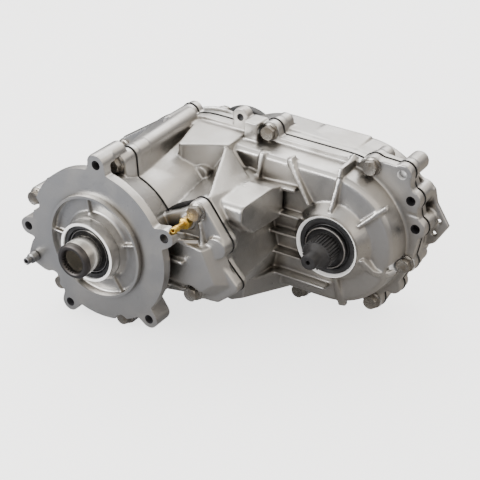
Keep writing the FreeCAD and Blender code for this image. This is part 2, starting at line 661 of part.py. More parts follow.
def rear_case():
    y0, y1 = rear_front_y, rear_back_y
    stations = ((y0 + 9.0, case_radius + 2.0, front_side_radius + 1.0), (y1 - 26.0, case_radius - 8.0, front_side_radius - 1.0),
                (y1 - 8.0, case_radius - 20.0, front_side_radius - 12.0))
    solids = flange_solids(y0, y0 + 10.0)
    for (ya, ra, sa), (yb, rb, sb) in zip(stations, stations[1:]):
        solids.append(drafted((crown_x, 0.0, ra), (front_round_x, 0.0, sa), (crown_x, 0.0, rb), (front_round_x, 0.0, sb), ya, yb))
        solids.append(taper(ra - case_radius + main_round_radius, rb - case_radius + main_round_radius, ya, yb))
    # drum over the chain's far run, and the raised band across its top
    da, db = case_radius + drum_rise, front_side_radius + drum_rise - 1.0
    solids.append(drafted((drum_x, 0.0, da), (front_round_x, 0.0, db), (drum_x, 0.0, da - drum_draft),
                          (front_round_x, 0.0, db - drum_draft), y0 + 9.0, y1 - 16.0))
    solids.append(drafted((drum_x, 0.0, da - drum_draft), (front_round_x, 0.0, db - drum_draft),
                          (drum_x, 0.0, da - drum_draft - 6.0), (front_round_x, 0.0, db - drum_draft - 6.0),
                          y1 - 16.0, y1 - 9.0))
    solids.append(block(142.0, 200.0, y0 + 9.0, y1 - 18.0, 60.0, db + 0.6))
    solids.append(taper(72.0, 64.0, y1 - 14.0, y1, 0.0))
    for x, z in case_bolts:
        solids.append(rod(bolt_boss_radius - 1.0, y0, y0 + bolt_engagement + 5.0, x, z))
    solids.append(rod(10.5, y0, y0 + 34.0, lug_blind[0], lug_blind[1]))
    for x, z in (lug_high, lug_low):
        solids.append(capsule((x, z, lug_radius), (front_axis_x + 50.0, z * 0.7, 14.0), y0, y0 + 26.0))
    # pointed web at the right end
    solids.append(prism([(front_axis_x + 62.0, 72.0), (front_axis_x + 84.0, 60.0), (front_axis_x + 88.0, 44.0),
                         (front_axis_x + 104.0, 20.0), (front_axis_x + 90.0, -4.0),
                         (front_axis_x + 70.0, -16.0)], y0 + 20.0, y0 + 26.0))
    # sump foot and cam shaft boss
    solids.append(prism([(40.0, -70.0), (60.0, -100.0), (150.0, -100.0), (175.0, -70.0)], y0, y0 + 40.0))
    solids.append(rod(17.0, y1 - 20.0, y1 + 4.0, rail_x, cam_z))
    body = joined(solids)
    inner = drafted((crown_x, 0.0, case_radius - case_wall), (front_round_x, 0.0, front_side_radius - case_wall),
                    (crown_x, 0.0, case_radius - case_wall - 6.0), (front_round_x, 0.0, front_side_radius - case_wall - 4.0),
                    y0 - 1.0, y1 - 16.0)
    main_room = taper(main_round_radius - case_wall, main_round_radius - case_wall - 14.0, y0 - 1.0, y1 - 22.0)
    body = body.cut(inner.cut(rod(58.0, y1 - 24.0, y1)).fuse(main_room))
    body = body.fuse(block(magnet_x - magnet_length / 2.0 - 2.0, magnet_x + magnet_length / 2.0 + 2.0,
                           magnet_front_y - 2.0, magnet_front_y + magnet_depth + 2.0,
                           magnet_seat_z - 8.0, magnet_seat_z))
    # bearing pockets and their walls
    body = body.fuse(rod(front_tail_bearing[1] + 6.0, front_tail_bearing_y, y1 - 12.0, front_axis_x))
    body = body.cut(rod(front_tail_bearing[1], front_tail_bearing_y - 1.0,
                        front_tail_bearing_y + front_tail_bearing[2], front_axis_x))
    body = body.cut(rod(18.0, front_tail_bearing_y, front_tail_bearing_y + front_tail_bearing[2] + 4.0,
                        front_axis_x))
    body = body.cut(rod(28.0, y0 + 40.0, y1 + 1.0))
    body = body.cut(rod(output_bearing[1], output_bearing_y, y1 + 1.0))
    # rail end boss and cam shaft bore
    body = body.fuse(rod(rail_radius + 5.0, y0 + 20.0, y1 - 8.0, rail_x, rail_z))
    body = body.cut(rod(rail_radius + running_gap, y0 + 19.0, y0 + 36.0, rail_x, rail_z))
    body = body.fuse(rod(cam_shaft_radius + 6.0, y0 + 30.0, y1, rail_x, cam_z))
    body = body.cut(rod(cam_shaft_radius + running_gap, y0 + 25.0, y1 + 6.0, rail_x, cam_z))
    holes = [rod(bolt_shank_radius, y0 - 1.0, y0 + bolt_engagement, x, z) for x, z in case_bolts]
    holes += [rod(lug_hole_radius, y0 - 1.0, y0 + 27.0, x, z) for x, z in (lug_high, lug_low)]
    holes += [rod(dowel_radius, y0 - 1.0, y0 + dowel_half_length, x, z) for x, z in dowel_places]
    holes += [rod(tail_bolt_radius, y1 - 10.0, y1 + 1.0, x, z) for x, z in tail_bolts]
    holes.append(rod(2.6, y0 + 19.0, y0 + 27.0, front_axis_x + 92.0, 24.0))
    holes.append(rod(2.6, y0 + 19.0, y0 + 27.0, front_axis_x + 88.0, 8.0))
    for hole in holes:
        body = body.cut(hole)
    return body.removeSplitter()


def tail_housing():
    y0, y1 = tail_front_y, tail_back_y
    solids = [rod(56.0, y0, y0 + 8.0), taper(50.0, 39.0, y0 + 8.0, y1), rod(39.0, y1 - 12.0, y1)]
    for x, z in tail_bolts:
        solids.append(rod(9.0, y0, y0 + 9.0, x, z))
    sx, sz = polar(1.0, sensor_angle)
    solids.append(Part.makeCylinder(12.0, 50.0, V(0, sensor_y, 0), V(sx, 0, sz)))
    for a in (0.0, 60.0, 120.0, 240.0, 300.0):
        solids.append(rib(polar(30.0, a + 12.0), polar(48.0, a + 12.0), 4.0, y0 + 6.0, y1 - 8.0))
    body = joined(solids)
    body = body.cut(rod(output_bearing[1] - 3.0, y0 - 1.0, y1 - 14.0))
    body = body.cut(rod(24.0, y1 - 16.0, y1 - 8.0)).cut(rod(tail_seal_radius, y1 - seal_width - 1.0, y1 + 1.0))
    body = body.cut(Part.makeCylinder(7.0, 60.0, V(0, sensor_y, 0), V(sx, 0, sz)))
    for x, z in tail_bolts:
        body = body.cut(rod(tail_bolt_radius + 0.4, y0 - 1.0, y0 + 10.0, x, z))
        body = body.cut(rod(9.0, y0 + 9.0, y0 + 30.0, x, z))
    return body.removeSplitter()


def housing_sealant():
    ring = joined(joint_outline(adapter_joint_y, case_front_y))
    ring = ring.cut(rod(tube_bore, adapter_joint_y - 1.0, case_front_y + 1.0))
    ring = ring.cut(prism(cavity_lobe, adapter_joint_y - 1.0, case_front_y + 1.0))
    return shaft_bores(ring, adapter_joint_y - 1.0, case_front_y + 1.0,
                       [(x, z) for x, z, s in adapter_bolts], bolt_hole_radius)


def case_sealant():
    ring = joined(flange_solids(case_joint_y, rear_front_y))
    ring = ring.cut(joined(case_outline(-case_wall, case_joint_y - 1.0, rear_front_y + 1.0)))
    ring = shaft_bores(ring, case_joint_y - 1.0, rear_front_y + 1.0, case_bolts, bolt_hole_radius)
    ring = shaft_bores(ring, case_joint_y - 1.0, rear_front_y + 1.0, [lug_high, lug_low], lug_hole_radius)
    return shaft_bores(ring, case_joint_y - 1.0, rear_front_y + 1.0, dowel_places, dowel_radius)


def tail_sealant():
    ring = pipe(56.0, output_bearing[1] - 0.5, rear_back_y, tail_front_y)
    ring = joined([ring] + [rod(9.0, rear_back_y, tail_front_y, x, z) for x, z in tail_bolts])
    ring = ring.cut(rod(output_bearing[1] - 0.5, rear_back_y - 1.0, tail_front_y + 1.0))
    return shaft_bores(ring, rear_back_y - 1.0, tail_front_y + 1.0, tail_bolts, tail_bolt_radius + 0.4)


# Fasteners and small fittings of the housing

def adapter_bolt_group():
    return Part.makeCompound([flange_bolt(x, z, seat, case_front_y + bolt_engagement - seat)
                              for x, z, seat in adapter_bolts])


def case_bolt_group():
    length = rear_front_y + bolt_engagement - 2.0 - case_flange_front_y
    return Part.makeCompound([flange_bolt(x, z, case_flange_front_y, length) for x, z in case_bolts])


def tail_bolt_group():
    seat = tail_front_y + 9.0
    bolts = []
    for x, z in tail_bolts:
        shank = rod(tail_bolt_radius, rear_back_y - 9.0, seat + 0.5, x, z)
        r = 13.0 / math.sqrt(3.0)
        head = prism([(x + r * math.cos(math.radians(60 * k)), z + r * math.sin(math.radians(60 * k)))
                      for k in range(6)], seat, seat + 6.0)
        bolts.append(joined([shank, head]))
    return Part.makeCompound(bolts)


def case_dowels():
    return Part.makeCompound([pipe(dowel_radius, dowel_radius - 1.8, case_joint_y - dowel_half_length,
                                   rear_front_y + dowel_half_length, x, z) for x, z in dowel_places])


def flange_stud():
    x, z = stud_centre
    body = rod(stud_radius, -stud_reach * 0.55, stud_seat_y, x, z)
    tip = rod(stud_tip_radius, -stud_reach, 0.0, x, z)
    return joined([body, tip]).cut(rod(stud_tip_radius - 1.4, -stud_reach - 1.0, -stud_reach + 5.0, x, z))


def vent_fitting():
    thread = rod(vent_thread_radius, 0.0, vent_thread_length)
    nut = hex_head(0.0, 0.0, 0.0, 11.0, 8.0)
    stem = rod(3.0, -32.0, -7.0)
    barbs = [taper(3.0, 3.7, -32.0 + k, -28.0 + k) for k in (0.0, 5.0)]
    body = joined([thread, nut, stem] + barbs)
    return leaned(body.cut(rod(vent_passage_radius, -33.0, vent_thread_length + 1.0)))


# Seals and bearings

def lip_seal(outer, shaft, y0, x=0.0):
    case = pipe(outer, outer - 2.0, y0, y0 + seal_width - 1.0, x)
    web = pipe(outer, shaft + 1.5, y0 + seal_width - 3.0, y0 + seal_width - 1.0, x)
    lip = pipe(shaft + 4.5, shaft + running_gap, y0 + 1.5, y0 + seal_width - 2.5, x)
    return joined([case, web, lip])


def race_radii(spec):
    bore, outer, width = spec
    share = (outer - bore) * race_share
    return bore + share, outer - share


def outer_race(spec, y0, x=0.0):
    """Outer ring with its two shields; the balls run hidden behind them."""
    inner_edge, outer_edge = race_radii(spec)
    bore, outer, width = spec
    ring = pipe(outer, outer_edge, y0, y0 + width, x)
    shields = [pipe(outer_edge + 0.5, inner_edge + bearing_gap, y, y + 1.0, x) for y in (y0 + 1.0, y0 + width - 2.0)]
    return joined([ring] + shields)


def inner_race(spec, y0, x=0.0):
    inner_edge, outer_edge = race_radii(spec)
    bore, outer, width = spec
    return pipe(inner_edge, bore, y0, y0 + width, x)


def snap_ring(spec, y0, x=0.0):
    outer = spec[1]
    ring = pipe(outer + snap_ring_depth, outer - 3.0, y0 + spec[2], y0 + spec[2] + snap_ring_thickness, x)
    return ring.cut(block(x - 4.0, x + 4.0, y0, y0 + 40.0, -outer - 10.0, 0.0))


# Rotating parts

def spline(radius, y0, y1, count, x=0.0):
    half = math.pi * radius / count / 2.0 - spline_gap
    return teeth_solid(count, radius - spline_height, radius, radius, half, y0, y1, 0.0, 0.3, None, x)


def spline_bore(radius, y0, y1, count, x=0.0):
    half = math.pi * radius / count / 2.0 + spline_gap
    return teeth_solid(count, radius - spline_height + spline_gap, radius, radius + spline_gap, half,
                       y0, y1, 0.0, 0.3, None, x)


def outside_dogs(tip, y0, y1, inner):
    half = math.pi * tip / dog_teeth / 2.0 - 0.35
    return teeth_solid(dog_teeth, tip - 2.5, tip, tip, half, y0, y1, 0.0, 0.25, inner)


def inside_dogs(tip, y0, y1, outer):
    """Ring whose inner teeth fit the gaps of outside_dogs of the same tip radius."""
    half = math.pi * tip / dog_teeth / 2.0 - 0.15
    gaps = teeth_solid(dog_teeth, tip - 2.5 + 0.4, tip, tip + 0.4, half, y0 - 1.0, y1 + 1.0, 0.0, 0.25)
    return rod(outer, y0, y1).cut(gaps)


mainshaft_spline_teeth = 24
sun_pitch_radius = gear_module * sun_teeth / 2.0
ring_pitch_radius = gear_module * ring_teeth / 2.0
planet_pitch_radius = gear_module * planet_teeth / 2.0
gear_half = math.pi * gear_module / 4.0 - tooth_slack / 2.0
high_dog_tip = 25.0
low_dog_tip = 40.5
high_dog_front = 50.0
high_dog_back = 61.0
hub_front_y = 64.0
carrier_back_y = 95.0
carrier_drum_radius = 49.0


def input_shaft():
    y_gear = sun_front_y
    solids = [rod(input_radius, input_nose_y + 2.0, 13.0),
              taper(input_radius - 2.0, input_radius, input_nose_y, input_nose_y + 2.0),
              rod(input_bearing[0], 13.0, input_bearing_y + input_bearing[2]),
              rod(27.0, input_bearing_y + input_bearing[2] + 2.5, y_gear + 1.0),
              rod(input_bearing[0], 20.0, y_gear)]
    gear = teeth_solid(sun_teeth, sun_pitch_radius - gear_dedendum, sun_pitch_radius,
                       sun_pitch_radius + sun_addendum, gear_half, y_gear, y_gear + gear_width, 0.0, 0.45)
    solids.append(gear)
    solids.append(rod(sun_pitch_radius - 3.0, y_gear + gear_width - 1.0, high_dog_back))
    body = joined(solids)
    half = math.pi * 14.0 / input_socket_teeth / 2.0
    socket = teeth_solid(input_socket_teeth, input_socket_radius, 14.0, 14.0, half, input_nose_y - 1.0,
                         input_nose_y + input_socket_depth, 0.0, 0.3)
    body = body.cut(socket).cut(rod(input_socket_radius, input_nose_y - 1.0, input_nose_y + input_socket_depth))
    body = body.cut(taper(15.5, 12.0, input_nose_y - 0.5, input_nose_y + 3.0))
    body = body.cut(rod(pilot_journal_radius + 4.0, 24.0, high_dog_front))
    dog_well = rod(high_dog_tip + 1.5, high_dog_front - 2.0, high_dog_back + 1.0)
    body = body.cut(dog_well)
    return body.fuse(inside_dogs(high_dog_tip, high_dog_front, high_dog_back, high_dog_tip + 2.0)).removeSplitter()


def pilot_bearing():
    return pipe(pilot_journal_radius + 4.0, pilot_journal_radius + running_gap, 28.0, high_dog_front - 3.0)


def annulus_gear():
    gaps = teeth_solid(ring_teeth, ring_pitch_radius - ring_addendum, ring_pitch_radius,
                       ring_pitch_radius + gear_dedendum,
                       math.pi * gear_module / 4.0 + tooth_slack / 2.0, sun_front_y - 5.0,
                       sun_front_y + gear_width + 5.0, 0.0, 0.36)
    return rod(ring_outer_radius, sun_front_y - 3.0, sun_front_y + gear_width + 1.0).cut(gaps)


def planet_places():
    return [(planet_orbit, 360.0 * k / planet_count) for k in range(planet_count)]


def planet_gear(index):
    radius, angle = planet_places()[index]
    x, z = polar(radius, angle)
    lead = (angle / (360.0 / sun_teeth)) % 1.0
    phase = angle + 180.0 + (lead - 0.5) * 360.0 / planet_teeth
    gear = teeth_solid(planet_teeth, planet_pitch_radius - gear_dedendum, planet_pitch_radius,
                       planet_pitch_radius + planet_addendum, gear_half, sun_front_y + 0.5,
                       sun_front_y + gear_width - 0.5, phase, 0.5, None, x, z)
    return gear.cut(rod(planet_pin_radius + running_gap, sun_front_y - 1.0, sun_front_y + gear_width + 1.0, x, z))


def planet_pins():
    pins = []
    for radius, angle in planet_places():
        x, z = polar(radius, angle)
        pins.append(rod(planet_pin_radius, sun_front_y - 3.0, sun_front_y + gear_width + 6.0, x, z))
    return Part.makeCompound(pins)


def planet_carrier():
    front = pipe(50.0, 28.5, sun_front_y - 3.2, sun_front_y - side_gap)
    rear_front = sun_front_y + gear_width + side_gap
    rear = pipe(50.0, 32.0, rear_front, rear_front + 6.0)
    drum = pipe(carrier_drum_radius, carrier_drum_radius - 5.5, rear_front + 5.0, carrier_back_y - 7.0)
    dogs = inside_dogs(low_dog_tip, carrier_back_y - 8.0, carrier_back_y, carrier_drum_radius)
    posts = []
    for k in range(planet_count):
        a = 360.0 * (k + 0.5) / planet_count
        x, z = polar(planet_orbit, a)
        posts.append(rod(5.5, sun_front_y - 1.0, rear_front + 1.0, x, z))
    body = joined([front, rear, drum, dogs] + posts)
    places = [polar(r, a) for r, a in planet_places()]
    return shaft_bores(body, sun_front_y - 4.0, rear_front + 7.0, places, planet_pin_radius)


def mainshaft():
    r = mainshaft_radius
    solids = [rod(pilot_journal_radius, 29.0, 64.0),
              spline(r, 63.0, 164.0, mainshaft_spline_teeth),
              rod(mainshaft_journal_radius, 163.0, 236.0),
              rod(24.0, 202.0, 212.0),
              rod(output_bearing[0], 235.0, 280.0),
              spline(15.0, 279.0, rear_flange_y + 8.0, 20),
              rod(10.0, rear_flange_y + 7.0, rear_flange_y + 24.0)]
    return joined(solids)


def range_hub():
    y0 = hub_front_y
    crown = outside_dogs(high_dog_tip, y0, y0 + 7.0, None)
    neck = rod(22.4, y0, y0 + 18.0)
    low_ring = outside_dogs(low_dog_tip, y0 + 12.5, y0 + 19.5, None)
    tail = rod(35.5, y0 + 19.0, y0 + 54.0)
    body = joined([crown, neck, low_ring, tail])
    body = body.cut(pipe(40.0, 30.0, range_groove_y - groove_width / 2.0, range_groove_y + groove_width / 2.0))
    return body.cut(spline_bore(mainshaft_radius, y0 - 1.0, y0 + 55.0, mainshaft_spline_teeth))


range_groove_y = 108.0
mode_groove_y = 137.0
mode_hub_y = 132.0
mode_dog_tip = 38.0


def mode_hub():
    y0 = mode_hub_y
    disc = rod(46.0, y0, y0 + 11.0)
    boss = rod(28.0, y0, y0 + 15.0)
    skirt = pipe(46.0, 41.5, y0 + 10.0, y0 + 17.0)
    dogs = inside_dogs(mode_dog_tip, y0 + 16.0, y0 + 24.0, 46.0)
    body = joined([disc, boss, skirt, dogs])
    body = body.cut(pipe(50.0, 42.0, mode_groove_y - groove_width / 2.0, mode_groove_y + groove_width / 2.0))
    return body.cut(spline_bore(mainshaft_radius, y0 - 1.0, y0 + 30.0, mainshaft_spline_teeth))


def sprocket(x, bore_radius):
    y0 = sprocket_front_y
    pitch = 2.0 * math.pi * sprocket_pitch_radius / sprocket_teeth
    wheel = teeth_solid(sprocket_teeth, sprocket_pitch_radius - 3.6, sprocket_pitch_radius, sprocket_pitch_radius
                        + 1.2, pitch * 0.25, y0, y0 + sprocket_width, 0.0, 0.4, None, x)
    wheel = wheel.cut(pipe(sprocket_rim_radius, sprocket_hub_radius, y0 - 1.0, y0 + 9.0, x)).cut(
        pipe(sprocket_rim_radius, sprocket_hub_radius, y0 + sprocket_width - 9.0, y0 + sprocket_width + 1.0, x))
    return wheel.cut(rod(bore_radius, y0 - 1.0, y0 + sprocket_width + 1.0, x))


def drive_sprocket():
    wheel = sprocket(0.0, mainshaft_journal_radius + 4.0)
    dogs = outside_dogs(mode_dog_tip, 159.0, 165.0, None)
    neck = rod(34.0, 160.0, sprocket_front_y + 12.0)
    body = joined([wheel, dogs, neck])
    return body.cut(rod(mainshaft_journal_radius + 4.0, 158.0, sprocket_front_y + sprocket_width + 1.0))


def sprocket_needles():
    return pipe(mainshaft_journal_radius + 4.0, mainshaft_journal_radius + running_gap, 164.5, 200.5)


def driven_sprocket():
    wheel = sprocket(front_axis_x, 16.0)
    return wheel.cut(spline_bore(20.0, sprocket_front_y - 1.0, sprocket_front_y + sprocket_width + 1.0, 24,
                                 front_axis_x))


def drive_chain():
    inner = sprocket_pitch_radius + 1.2 + side_gap + 0.2
    y0 = sprocket_front_y + (sprocket_width - chain_width) / 2.0
    outer_loop = capsule((0.0, 0.0, inner + chain_thickness), (front_axis_x, 0.0, inner + chain_thickness),
                         y0, y0 + chain_width)
    inner_loop = capsule((0.0, 0.0, inner), (front_axis_x, 0.0, inner), y0 - 1.0, y0 + chain_width + 1.0)
    return outer_loop.cut(inner_loop)


def front_output_shaft():
    x = front_axis_x
    solids = [taper(stub_nose_radius - 1.0, stub_nose_radius, stub_nose_y, stub_nose_y + 1.5, x),
              rod(stub_nose_radius, stub_nose_y + 1.5, stub_spline_end_y - 2.0, x),
              taper(stub_nose_radius, stub_radius - spline_height, stub_spline_end_y - 6.0, stub_spline_end_y + 1.0, x),
              spline(stub_radius, stub_spline_end_y, boss_face_y, 30, x),
              rod(front_bearing[0], boss_face_y - 1.0, front_bearing_y + front_bearing[2] + 1.0, x),
              rod(21.0, front_bearing_y + front_bearing[2], sprocket_front_y, x),
              spline(20.0, sprocket_front_y - 1.0, sprocket_front_y + sprocket_width + 1.0, 24, x),
              rod(front_tail_bearing[0] + 2.0, sprocket_front_y + sprocket_width + 0.5, front_tail_bearing_y, x),
              rod(front_tail_bearing[0], front_tail_bearing_y - 1.0, front_tail_bearing_y + 17.0, x)]
    return joined(solids).cut(rod(2.5, stub_nose_y - 1.0, stub_nose_y + 12.0, x))


def dust_slinger():
    x = front_axis_x
    flare = pipe(24.0, 22.6, boss_face_y - 3.0, boss_face_y + 1.4, x)
    web = pipe(23.5, front_bearing[0], boss_face_y + 0.2, boss_face_y + 1.4, x)
    return joined([flare, web])


# Rear output

def rear_flange():
    y0 = rear_flange_y
    disc = rod(rear_flange_radius, y0, y0 + rear_flange_thickness)
    hub = rod(rear_hub_radius, y0 - 18.0, y0 + 1.0)
    neck = taper(rear_hub_radius, 32.0, y0 - 2.0, y0 + 1.0)
    body = joined([disc, hub, neck])
    body = body.cut(rod(17.5, y0 + 2.0, y0 + rear_flange_thickness + 1.0))
    body = body.cut(spline_bore(15.0, y0 - 19.0, y0 + 3.0, 20))
    places = [polar(rear_pcd / 2.0, 45.0 + 360.0 * k / rear_holes) for k in range(rear_holes)]
    return shaft_bores(body, y0 - 1.0, y0 + rear_flange_thickness + 1.0, places, rear_hole_radius)


def rear_flange_nut():
    y0 = rear_flange_y + 8.2
    r = 27.0 / math.sqrt(3.0)
    nut = prism([polar(r, 60.0 * k) for k in range(6)], y0, y0 + 11.0)
    return nut.cut(rod(10.0, y0 - 1.0, y0 + 12.0))


def tone_ring():
    return teeth_solid(24, 29.0, 31.0, 31.0, 2.4, 272.0, 279.0, 0.0, 0.1, output_bearing[0])


def speed_sensor():
    sx, sz = polar(1.0, sensor_angle)
    axis = V(sx, 0, sz)
    probe = Part.makeCylinder(6.9, 36.0, V(32.5 * sx, sensor_y, 32.5 * sz), axis)
    head = Part.makeCylinder(10.0, 12.0, V(50.0 * sx, sensor_y, 50.0 * sz), axis)
    return joined([probe, head])


# Oil pump behind the drive sprocket

pump_front_y = 214.0
pump_depth = 17.0
pickup_z = -46.0
pickup_radius = 5.0


def pump_housing():
    y0 = pump_front_y
    body = rod(41.0, y0, y0 + pump_depth)
    body = body.fuse(capsule((0.0, -30.0, 12.0), (0.0, pickup_z, 8.0), y0 + 2.0, y0 + pump_depth - 4.0))
    body = body.cut(rod(32.0, y0 + 3.0, y0 + pump_depth - 3.0))
    body = body.cut(rod(mainshaft_journal_radius + 0.5, y0 - 1.0, y0 + pump_depth + 1.0))
    return body.cut(rod(pickup_radius, y0 + 1.0, y0 + 9.0, 0.0, pickup_z)).removeSplitter()


def pump_rotor():
    y0 = pump_front_y + 3.0 + side_gap
    y1 = pump_front_y + pump_depth - 3.0 - side_gap
    return teeth_solid(8, 26.0, 28.0, 31.5, 4.0, y0, y1, 0.0, 0.2, mainshaft_journal_radius)


def oil_pickup():
    """Short suction pipe in the pump's leg with a drum strainer on its end."""
    tube = rod(pickup_radius, pump_front_y - 6.0, pump_front_y + 8.0, 0.0, pickup_z)
    strainer = rod(11.0, pump_front_y - 13.0, pump_front_y - 5.0, 0.0, pickup_z - 4.0)
    return joined([tube, strainer])


# Shift mechanism

def shift_rail():
    return rod(rail_radius, 38.0, rear_front_y + 36.0, rail_x, rail_z)


def fork(boss_y0, boss_y1, groove_y, grip, reach):
    """Fork: boss on the rail, arm, and two prongs round half of the hub's groove."""
    y0 = groove_y - fork_thickness / 2.0
    y1 = groove_y + fork_thickness / 2.0
    half = rod(reach, y0, y1).cut(block(-reach - 1.0, -4.0, y0 - 1.0, y1 + 1.0, -reach - 1.0, reach + 1.0))
    arm = prism([(reach - 8.0, 12.0), (rail_x, rail_z + 11.0), (rail_x, rail_z - 11.0), (reach - 8.0, -20.0)], y0, y1)
    boss = rod(rail_radius + 4.0, boss_y0, boss_y1, rail_x, rail_z)
    body = joined([half, arm, boss])
    body = body.cut(rod(grip, y0 - 1.0, y1 + 1.0))
    return body.cut(rod(rail_radius + running_gap, boss_y0 - 1.0, boss_y1 + 1.0, rail_x, rail_z))


def range_fork():
    body = fork(96.0, 120.0, range_groove_y, 30.0 + side_gap, 43.0)
    pin = Part.makeCylinder(cam_pin_radius, 26.0, V(rail_x, range_groove_y, rail_z + rail_radius + 1.0), V(0, 0, 1))
    top = cam_z - cam_radius + cam_groove_depth - side_gap
    keep = block(rail_x - 20.0, rail_x + 20.0, 80.0, 140.0, rail_z, top)
    return body.fuse(pin.common(keep)).removeSplitter()


def mode_fork():
    return fork(131.0, 147.0, mode_groove_y, 42.0 + side_gap, 54.0)


def shift_cam():
    drum = rod(cam_radius, 86.0, 130.0, rail_x, cam_z)
    sections = []
    steps = 8
    near, far = cam_radius - cam_groove_depth, cam_radius + 3.0
    lead = range_travel / math.radians(cam_sweep)
    half = (cam_pin_radius + side_gap) * math.hypot(1.0, lead / near)
    for i in range(steps + 1):
        turn = (cam_sweep + cam_groove_margin) * (2.0 * i / steps - 1.0)
        y = range_groove_y - range_travel * turn / cam_sweep
        a = math.radians(-90.0 + turn)
        pts = []
        for r, s in ((near, -1), (far, -1), (far, 1), (near, 1)):
            pts.append(V(rail_x + r * math.cos(a), y + s * half, cam_z + r * math.sin(a)))
        sections.append(Part.makePolygon(pts + pts[:1]))
    groove = Part.makeLoft(sections, True, True)
    shaft = rod(cam_shaft_radius, case_front_y + 12.0, rear_back_y + 16.0, rail_x, cam_z)
    body = joined([drum.cut(groove), shaft])
    flat = block(rail_x - 10.0, rail_x - 5.0, rear_back_y + 5.0, rear_back_y + 20.0, cam_z - 10.0, cam_z + 10.0)
    other = block(rail_x + 5.0, rail_x + 10.0, rear_back_y + 5.0, rear_back_y + 20.0, cam_z - 10.0, cam_z + 10.0)
    return body.cut(flat).cut(other)


def magnet():
    return block(magnet_x - magnet_length / 2.0, magnet_x + magnet_length / 2.0,
                 magnet_front_y, magnet_front_y + magnet_depth, magnet_seat_z, magnet_seat_z + magnet_height)


PIECES = {
    "input_housing": input_housing,
    "front_case": front_case,
    "rear_case": rear_case,
    "tail_housing": tail_housing,
    "housing_sealant": housing_sealant,
    "case_sealant": case_sealant,
    "tail_sealant": tail_sealant,
    "adapter_bolts": adapter_bolt_group,
    "case_bolts": case_bolt_group,
    "tail_bolts": tail_bolt_group,
    "case_dowels": case_dowels,
    "flange_stud": flange_stud,
    "vent_fitting": vent_fitting,
    "input_seal": lambda: lip_seal(input_seal_radius, input_radius, -pilot_height + 3.0),
    "front_output_seal": lambda: lip_seal(front_seal_radius, front_bearing[0], boss_face_y + 2.0, front_axis_x),
    "rear_output_seal": lambda: lip_seal(tail_seal_radius, rear_hub_radius, tail_back_y - seal_width),
    "input_bearing_outer": lambda: outer_race(input_bearing, input_bearing_y),
    "input_bearing_inner": lambda: inner_race(input_bearing, input_bearing_y),
    "input_bearing_clip": lambda: snap_ring(input_bearing, input_bearing_y),
    "rear_bearing_outer": lambda: outer_race(output_bearing, output_bearing_y),
    "rear_bearing_inner": lambda: inner_race(output_bearing, output_bearing_y),
    "front_bearing_outer": lambda: outer_race(front_bearing, front_bearing_y, front_axis_x),
    "front_bearing_inner": lambda: inner_race(front_bearing, front_bearing_y, front_axis_x),
    "front_bearing_clip": lambda: snap_ring(front_bearing, front_bearing_y, front_axis_x),
    "front_tail_bearing_outer": lambda: outer_race(front_tail_bearing, front_tail_bearing_y, front_axis_x),
    "front_tail_bearing_inner": lambda: inner_race(front_tail_bearing, front_tail_bearing_y, front_axis_x),
    "input_shaft": input_shaft,
    "pilot_bearing": pilot_bearing,
    "annulus_gear": annulus_gear,
    "planet_carrier": planet_carrier,
    "planet_pins": planet_pins,
    "planet_gear_1": lambda: planet_gear(0),
    "planet_gear_2": lambda: planet_gear(1),
    "planet_gear_3": lambda: planet_gear(2),
    "planet_gear_4": lambda: planet_gear(3),
    "mainshaft": mainshaft,
    "range_hub": range_hub,
    "mode_hub": mode_hub,
    "drive_sprocket": drive_sprocket,
    "sprocket_needles": sprocket_needles,
    "driven_sprocket": driven_sprocket,
    "drive_chain": drive_chain,
    "front_output_shaft": front_output_shaft,
    "dust_slinger": dust_slinger,
    "rear_flange": rear_flange,
    "rear_flange_nut": rear_flange_nut,
    "tone_ring": tone_ring,
    "speed_sensor": speed_sensor,
    "oil_pump_housing": pump_housing,
    "oil_pump_rotor": pump_rotor,
    "oil_pickup": oil_pickup,
    "shift_rail": shift_rail,
    "range_fork": range_fork,
    "mode_fork": mode_fork,
    "shift_cam": shift_cam,
    "sump_magnet": magnet,
}


def main():
    for name, make in PIECES.items():
        shape = make()
        print(name, "solids", len(shape.Solids), "valid", shape.isValid(), "volume", round(shape.Volume))
        shape.exportStep(os.path.join("parts", name + ".step"))


main()
